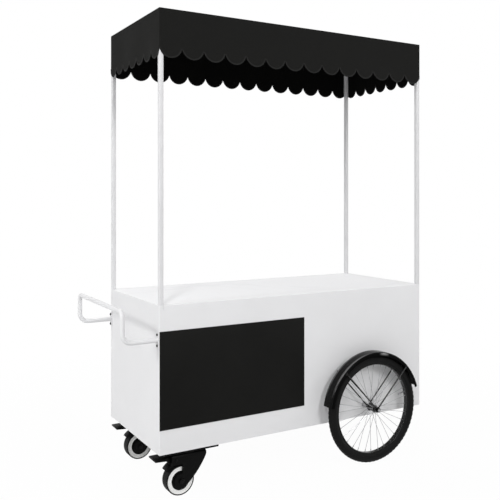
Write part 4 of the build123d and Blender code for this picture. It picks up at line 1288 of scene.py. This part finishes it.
class CART_OT_mudguards(bpy.types.Operator):
    """Rolls the two mudguards and fits their stays and screws"""

    bl_idname = "cart.mudguards"
    bl_label = "Mudguards"

    turned_steps = 112
    crown = 264 * MM
    crown_rise = (0.5 * MM, 0.3 * MM)
    half_width = 33 * MM
    lip = 246 * MM
    shoulder = 9 * MM
    sheet = 1.5 * MM
    bead = 1.5 * MM
    from_degrees = 17.0
    to_degrees = 171.0
    # Lean that divides the lighter crown, painted light, from the darker skirts, painted shade.
    painted_shade_lean = 40
    lacquer_spots = ((128.0, 36.0, 8.0, 24.0), (80.0, 7.0, 78.0, 24.0))
    stay_edge = 0.3 * MM
    screw_circle = 255 * MM
    screw_degrees = (45.5, 133.5)
    screw_seat = 35 * MM
    screw_head = (4.5 * MM, 3 * MM)

    def section(self):
        """Flat crown, round shoulders and straight skirts that end in a rolled bead."""
        middle_r, middle_y = self.crown - self.shoulder, self.half_width - self.shoulder
        middle_rise, side_rise = self.crown_rise

        def half(inset):
            top = self.crown - inset
            flat = [(top + middle_rise, 0.0), (top + side_rise, middle_y * 0.6)]
            return flat + arc(middle_r, middle_y, self.shoulder - inset, range(0, 91, 9))

        hem = arc(self.lip + self.bead, self.half_width - self.bead * 0.75, self.bead, range(30, 301, 30))
        return mirrored(half(0.0) + hem + half(self.sheet)[::-1])

    def round_place(self, point):
        """A point's angle round the wheel, and its angle and reach on the round from crown to skirt."""
        off = point - self.centre
        up = Vector((off.x, off.z)).length - (self.crown - self.shoulder)
        aside = abs(off.y) - (self.half_width - self.shoulder)
        turn, lean = math.atan2(off.z, off.x), math.atan2(aside, up)
        return math.degrees(turn), math.degrees(lean), math.hypot(up, aside)

    def add_lacquer(self, mesh):
        """Stores how thick the clear lacquer lies: a long spot by the crown's edge, a short one below."""
        weights = []
        for vert in mesh.vertices:
            turn, lean, _ = self.round_place(vert.co)
            weight = 0.0
            for middle_turn, half_turn, middle_lean, half_lean in self.lacquer_spots:
                off = math.hypot((turn - middle_turn) / half_turn, (lean - middle_lean) / half_lean)
                weight = max(weight, min(1.0, 2.0 * (1.0 - off)))
            weights.append(weight)
        mesh.attributes.new("lacquer", "FLOAT", "POINT").data.foreach_set("value", weights)

    def in_painted_shade(self, face):
        """Picks the skirts and the inner side for the darker finish, which is painted shade, and leaves the
        outer side of the crown for the lighter finish, which is painted light.
        """
        _, lean, reach = self.round_place(face.center)
        looks_out = face.normal.dot(face.center - self.centre) > 0
        outside = (lean < 0 and looks_out) or reach > self.shoulder - self.sheet / 2
        return not (outside and lean < self.painted_shade_lean)

    def execute(self, context):
        places = []
        for name in SIDES:
            self.centre = middle_of(f"wheel_{name}_tyre")
            turn = self.to_degrees - self.from_degrees
            shape = lathe(Shape(), self.section(), self.centre, self.turned_steps, self.from_degrees, turn)
            guard = shape.mesh("fender_sheet", crease=40.0)
            self.add_lacquer(guard)
            # The crown's lighter colour is painted light and the skirts' darker colour is painted shade.
            share_faces(guard, [finish("mudguard_paint"), finish("mudguard_skirt")], self.in_painted_shade)
            add_piece(f"fender_{name}_sheet", guard, f"fender_{name}")
            for degrees in self.screw_degrees:
                spot = radial(math.radians(degrees)) * self.screw_circle
                for way in (-1, 1):
                    seat = self.centre + spot + Vector((0.0, way * self.screw_seat, 0.0))
                    places.append(facing(seat, (0, way, 0)))
            rods = softened(f"fender_stays_{name}", self.stay_edge)
            add_piece(f"fender_{name}_rods", rods, f"fender_stays_{name}", finish("stay_paint"))
        heads = copies(button_head(*self.screw_head), places, slot_finish("black_bolts"))
        add_piece("fender_screw_heads", heads, "fender_bolts")
        return {"FINISHED"}


class CART_OT_casters(bpy.types.Operator):
    """Builds the caster wheels and gives forks, plates and pedals their edges"""

    bl_idname = "cart.casters"
    bl_label = "Casters"

    wheel_steps = 96
    cover_steps = 72
    tread = (
        (57.4, 24.6), (58.2, 25.0), (60.0, 24.6), (61.5, 23.5), (62.2, 21.8), (62.5, 19.5), (62.5, 9.4),
        (62.0, 9.0), (62.0, 8.0), (62.5, 7.6),
    )
    core = (
        (9.2, 23.0), (30.0, 23.0), (40.6, 23.0), (41.2, 22.6), (41.6, 22.0), (53.0, 22.0), (54.0, 22.4),
        (54.6, 23.0), (56.6, 23.0), (57.4, 22.4),
    )
    cover = (
        (10.2, 24.2), (12.6, 24.2), (13.2, 24.9), (19.0, 24.9), (19.8, 24.3), (33.4, 24.3), (34.2, 25.0),
        (37.6, 25.0), (39.4, 24.6), (40.0, 23.4), (40.0, 23.0), (10.2, 23.0),
    )
    fork_edge = 1.2 * MM
    part_edges = {"pedal": 1.0 * MM, "axle": 0.5 * MM, "bearings": 0.4 * MM}
    plate_edges = {"caster_plates": 0.8 * MM, "caster_bolts": 0.5 * MM}
    rib_count = 6
    rib_half = (1.6 * MM, 1.1 * MM)
    rib_end = 1.5 * MM
    rib_margin = 4 * MM
    rib_first = 7
    rib_pitch = 6.5
    rib_sink = 0.45
    rib_rise = 0.06

    def execute(self, context):
        for name in SIDES:
            node = f"caster_{name}_"
            centre = middle_of(node + "tread")
            for piece, part, half in (("tyre", "tread", self.tread), ("wheel", "core", self.core)):
                shape = lathe(Shape(), mirrored(metres(half)), centre, self.wheel_steps)
                add_piece(node + piece, shape.mesh("turned", crease=30.0), node + part)
            discs = Shape()
            for way in (-1, 1):
                lathe(discs, [(r, way * y) for r, y in metres(self.cover)], centre, self.cover_steps)
            add_piece(f"{node}discs", discs.mesh("cover_discs", crease=30.0), node + "covers")
            soften_node(node + "fork", self.fork_edge, segments=3)
            for part, width in self.part_edges.items():
                soften_node(node + part, width)
            self.add_ribs(node + "pedal")
        for node, width in self.plate_edges.items():
            soften_node(node, width)
        return {"FINISHED"}

    def add_ribs(self, node):
        """Low grip ribs across the foot plate of a pedal."""
        low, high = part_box(node)
        half = (high.y - low.y) / 2 - self.rib_margin
        full = half - self.rib_end
        half_x, half_z = self.rib_half
        turns = [math.radians(degrees) for degrees in range(0, 181, 30)]
        rows = []
        for y, share in ((-half, 0.5), (-full, 1.0), (full, 1.0), (half, 0.5)):
            x, z = half_x * share, half_z * share
            rows.append([Vector((x * math.cos(turn), y, z * math.sin(turn))) for turn in turns])
        rib = Shape().grid(rows).lid(rows[0]).lid(rows[-1]).mesh("grip_rib", crease=40.0)
        places = []
        for k in range(self.rib_count):
            x = low.x + (self.rib_first + self.rib_pitch * k) * MM
            z = high.z - (self.rib_sink - self.rib_rise * k) * MM
            places.append(Matrix.Translation((x, (low.y + high.y) / 2, z)))
        ribs = copies(rib, places, slot_finish("black_steel"))
        add_piece(f"{node}_ribs", ribs, slot="black_steel", body=BODY_OF[node])


class CART_OT_doors(bpy.types.Operator):
    """Finishes the doors on the vendor's side, with their hinges, screws and knobs"""

    bl_idname = "cart.doors"
    bl_label = "Doors"

    board_edge = 1.2 * MM
    leaf_edge = 0.3 * MM
    leaf = 2 * MM
    leaf_half = 30 * MM
    knuckle = 3.5 * MM
    screw_off = 18 * MM
    screw_head = (3.2 * MM, 0.9 * MM)
    screw_heights = (-20 * MM, 0.0, 20 * MM)

    def execute(self, context):
        soften_node("hinge_leaves", self.leaf_edge)
        self.add_screws("hinge_leaves_screws", "cart", {"left": -1, "right": 1})
        for name, way in (("left", 1), ("right", -1)):
            node = f"door_{name}"
            soften_node(node, self.board_edge)
            soften_node(f"{node}_hinges", self.leaf_edge)
            soften_node(f"{node}_knob", 0.0, crease=40.0)
            self.add_screws(f"{node}_screws", BODY_OF[node], {name: way})
        return {"FINISHED"}

    def add_screws(self, name, body, ways):
        """Three flat screws in each hinge leaf, on one side of the hinge's axis or the other."""
        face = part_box("back_panel")[1].y + self.leaf
        places = []
        for door, way in ways.items():
            low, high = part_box(f"door_{door}_hinges")
            axis_x = low.x + self.knuckle if door == "left" else high.x - self.knuckle
            for middle in (low.z + self.leaf_half, high.z - self.leaf_half):
                for height in self.screw_heights:
                    places.append(facing((axis_x + way * self.screw_off, face, middle + height), (0, 1, 0)))
        heads = copies(button_head(*self.screw_head), places, slot_finish("zinc_steel"))
        add_piece(name, heads, slot="zinc_steel", body=body)


class CART_OT_stage(bpy.types.Operator):
    """Sets the pale floor, the soft studio light and the camera of the picture"""

    bl_idname = "cart.stage"
    bl_label = "Stage"

    focal_pixels = 700.46
    picture_pixels = 500
    horizon_row = 196.92
    sensor = 36.0
    yaw_degrees = 29.947
    camera_place = (-1.7083, -2.9154, 1.2370)
    floor_reach = 30.0
    floor_shadow = 0.025
    shadow_reach = (0.9, 2.6)
    floor_grey = 0.70
    ambient = 0.33
    lamps = (
        ("key_lamp", (0.55, -6.42, 3.99), (0.2, -0.3, 0.6), (1.8, 1.8), 152.0),
        ("strip_lamp", (-4.2, -5.3, 6.7), (0.05, -0.1, 0.7), (1.0, 4.5), 206.0),
        ("side_lamp", (-5.1, -0.6, 3.33), (-0.62, 0.0, 0.65), (0.7, 0.7), 78.0),
        ("left_lamp", (-5.0, -0.6, 1.6), (-0.62, 0.0, 0.55), (2.6, 2.6), 34.0),
        ("fill_lamp", (4.2, -2.6, 2.85), (0.4, -0.3, 0.5), (1.0, 1.0), 18.0),
        ("back_lamp", (0.6, 3.0, 5.2), (0.0, 0.0, 0.8), (1.6, 1.6), 76.0),
    )

    def execute(self, context):
        self.set_camera(context.scene)
        self.set_world(context.scene)
        self.add_floor()
        for lamp in self.lamps:
            self.add_lamp(*lamp)
        context.scene.view_settings.view_transform = "Standard"
        return {"FINISHED"}

    def set_camera(self, scene):
        data = bpy.data.cameras.new("picture_camera")
        data.sensor_width = self.sensor
        data.lens = self.sensor * self.focal_pixels / self.picture_pixels
        data.shift_y = self.horizon_row / self.picture_pixels - 0.5
        camera = placed("picture_camera", data)
        camera.location = self.camera_place
        camera.rotation_euler = (math.radians(90.0), 0.0, -math.radians(self.yaw_degrees))
        scene.camera = camera

    def seen_rays(self, net):
        """1 for a ray that shows the backdrop, in the picture or in gloss and glass, and 0 for lighting."""
        camera = net.node("ShaderNodeLightPath", output="Is Camera Ray")
        seen = net.math("MAXIMUM", camera, camera.beside("Is Glossy Ray"))
        return net.math("MAXIMUM", seen, camera.beside("Is Transmission Ray"))

    def set_world(self, scene):
        """A white backdrop that lights the cart only softly."""
        world = bpy.data.worlds.new("studio")
        world.use_nodes = True
        world.node_tree.nodes.clear()
        net = Net(world.node_tree)
        white = net.node("ShaderNodeBackground", inputs={"Color": WHITE, "Strength": 1.0})
        soft = net.node("ShaderNodeBackground", inputs={"Color": WHITE, "Strength": self.ambient})
        mixed = net.node("ShaderNodeMixShader", inputs={0: self.seen_rays(net), 1: soft, 2: white})
        net.node("ShaderNodeOutputWorld", inputs={"Surface": mixed})
        scene.world = world

    def add_floor(self):
        """A pale floor that keeps the cart's shadow and fades into the white backdrop."""
        reach = self.floor_reach
        mesh = bpy.data.meshes.new("floor")
        corners = [(-reach, -reach, 0.0), (reach, -reach, 0.0), (reach, reach, 0.0), (-reach, reach, 0.0)]
        mesh.from_pydata(corners, [], [(0, 1, 2, 3)])
        placed("floor", mesh)
        paint = bpy.data.materials.new("pale_floor")
        paint.use_nodes = True
        paint.node_tree.nodes.clear()
        net = Net(paint.node_tree)
        lit = net.remap(net.length_of(net.place()), *self.shadow_reach, self.floor_shadow, 0.0)
        matt = net.node("ShaderNodeBsdfDiffuse", inputs={"Color": (*[self.floor_grey] * 3, 1.0)})
        white = net.node("ShaderNodeEmission", inputs={"Color": WHITE, "Strength": 1.0})
        share = self.seen_rays(net) * (1.0 - lit)
        mixed = net.node("ShaderNodeMixShader", inputs={0: share, 1: matt, 2: white})
        net.node("ShaderNodeOutputMaterial", inputs={"Surface": mixed})
        mesh.materials.append(paint)

    def add_lamp(self, name, place, aim, size, watts):
        data = bpy.data.lights.new(name, "AREA")
        data.shape = "RECTANGLE"
        data.size, data.size_y = size
        data.energy = watts
        lamp = placed(name, data)
        lamp.location = place
        lamp.rotation_euler = (Vector(aim) - Vector(place)).to_track_quat("-Z", "Y").to_euler()


OPERATORS = (
    CART_OT_cabinet, CART_OT_canopy, CART_OT_handle, CART_OT_wheels, CART_OT_mudguards, CART_OT_casters,
    CART_OT_doors, CART_OT_stage,
)


class CART_PT_dressing(bpy.types.Panel):
    """Lists the operators, sizes and colours"""

    bl_label = "Cart"
    bl_idname = "CART_PT_dressing"
    bl_space_type = "VIEW_3D"
    bl_region_type = "UI"
    bl_category = "Cart"

    def draw(self, context):
        for operator in OPERATORS:
            self.layout.operator(operator.bl_idname)
        for group in (context.scene.cart_sizes, context.scene.cart_colours):
            box = self.layout.box()
            for name in group.__annotations__:
                box.prop(group, name)


CLASSES = (CartSizes, CartColours, *OPERATORS, CART_PT_dressing)


def register():
    for item in CLASSES:
        bpy.utils.register_class(item)
    bpy.types.Scene.cart_sizes = bpy.props.PointerProperty(type=CartSizes)
    bpy.types.Scene.cart_colours = bpy.props.PointerProperty(type=CartColours)


def unregister():
    del bpy.types.Scene.cart_colours
    del bpy.types.Scene.cart_sizes
    for item in reversed(CLASSES):
        bpy.utils.unregister_class(item)


def main():
    register()
    bpy.ops.cart.cabinet()
    bpy.ops.cart.canopy()
    bpy.ops.cart.handle()
    bpy.ops.cart.wheels()
    bpy.ops.cart.mudguards()
    bpy.ops.cart.casters()
    bpy.ops.cart.doors()
    bpy.ops.cart.stage()


if __name__ == "__main__":
    main()
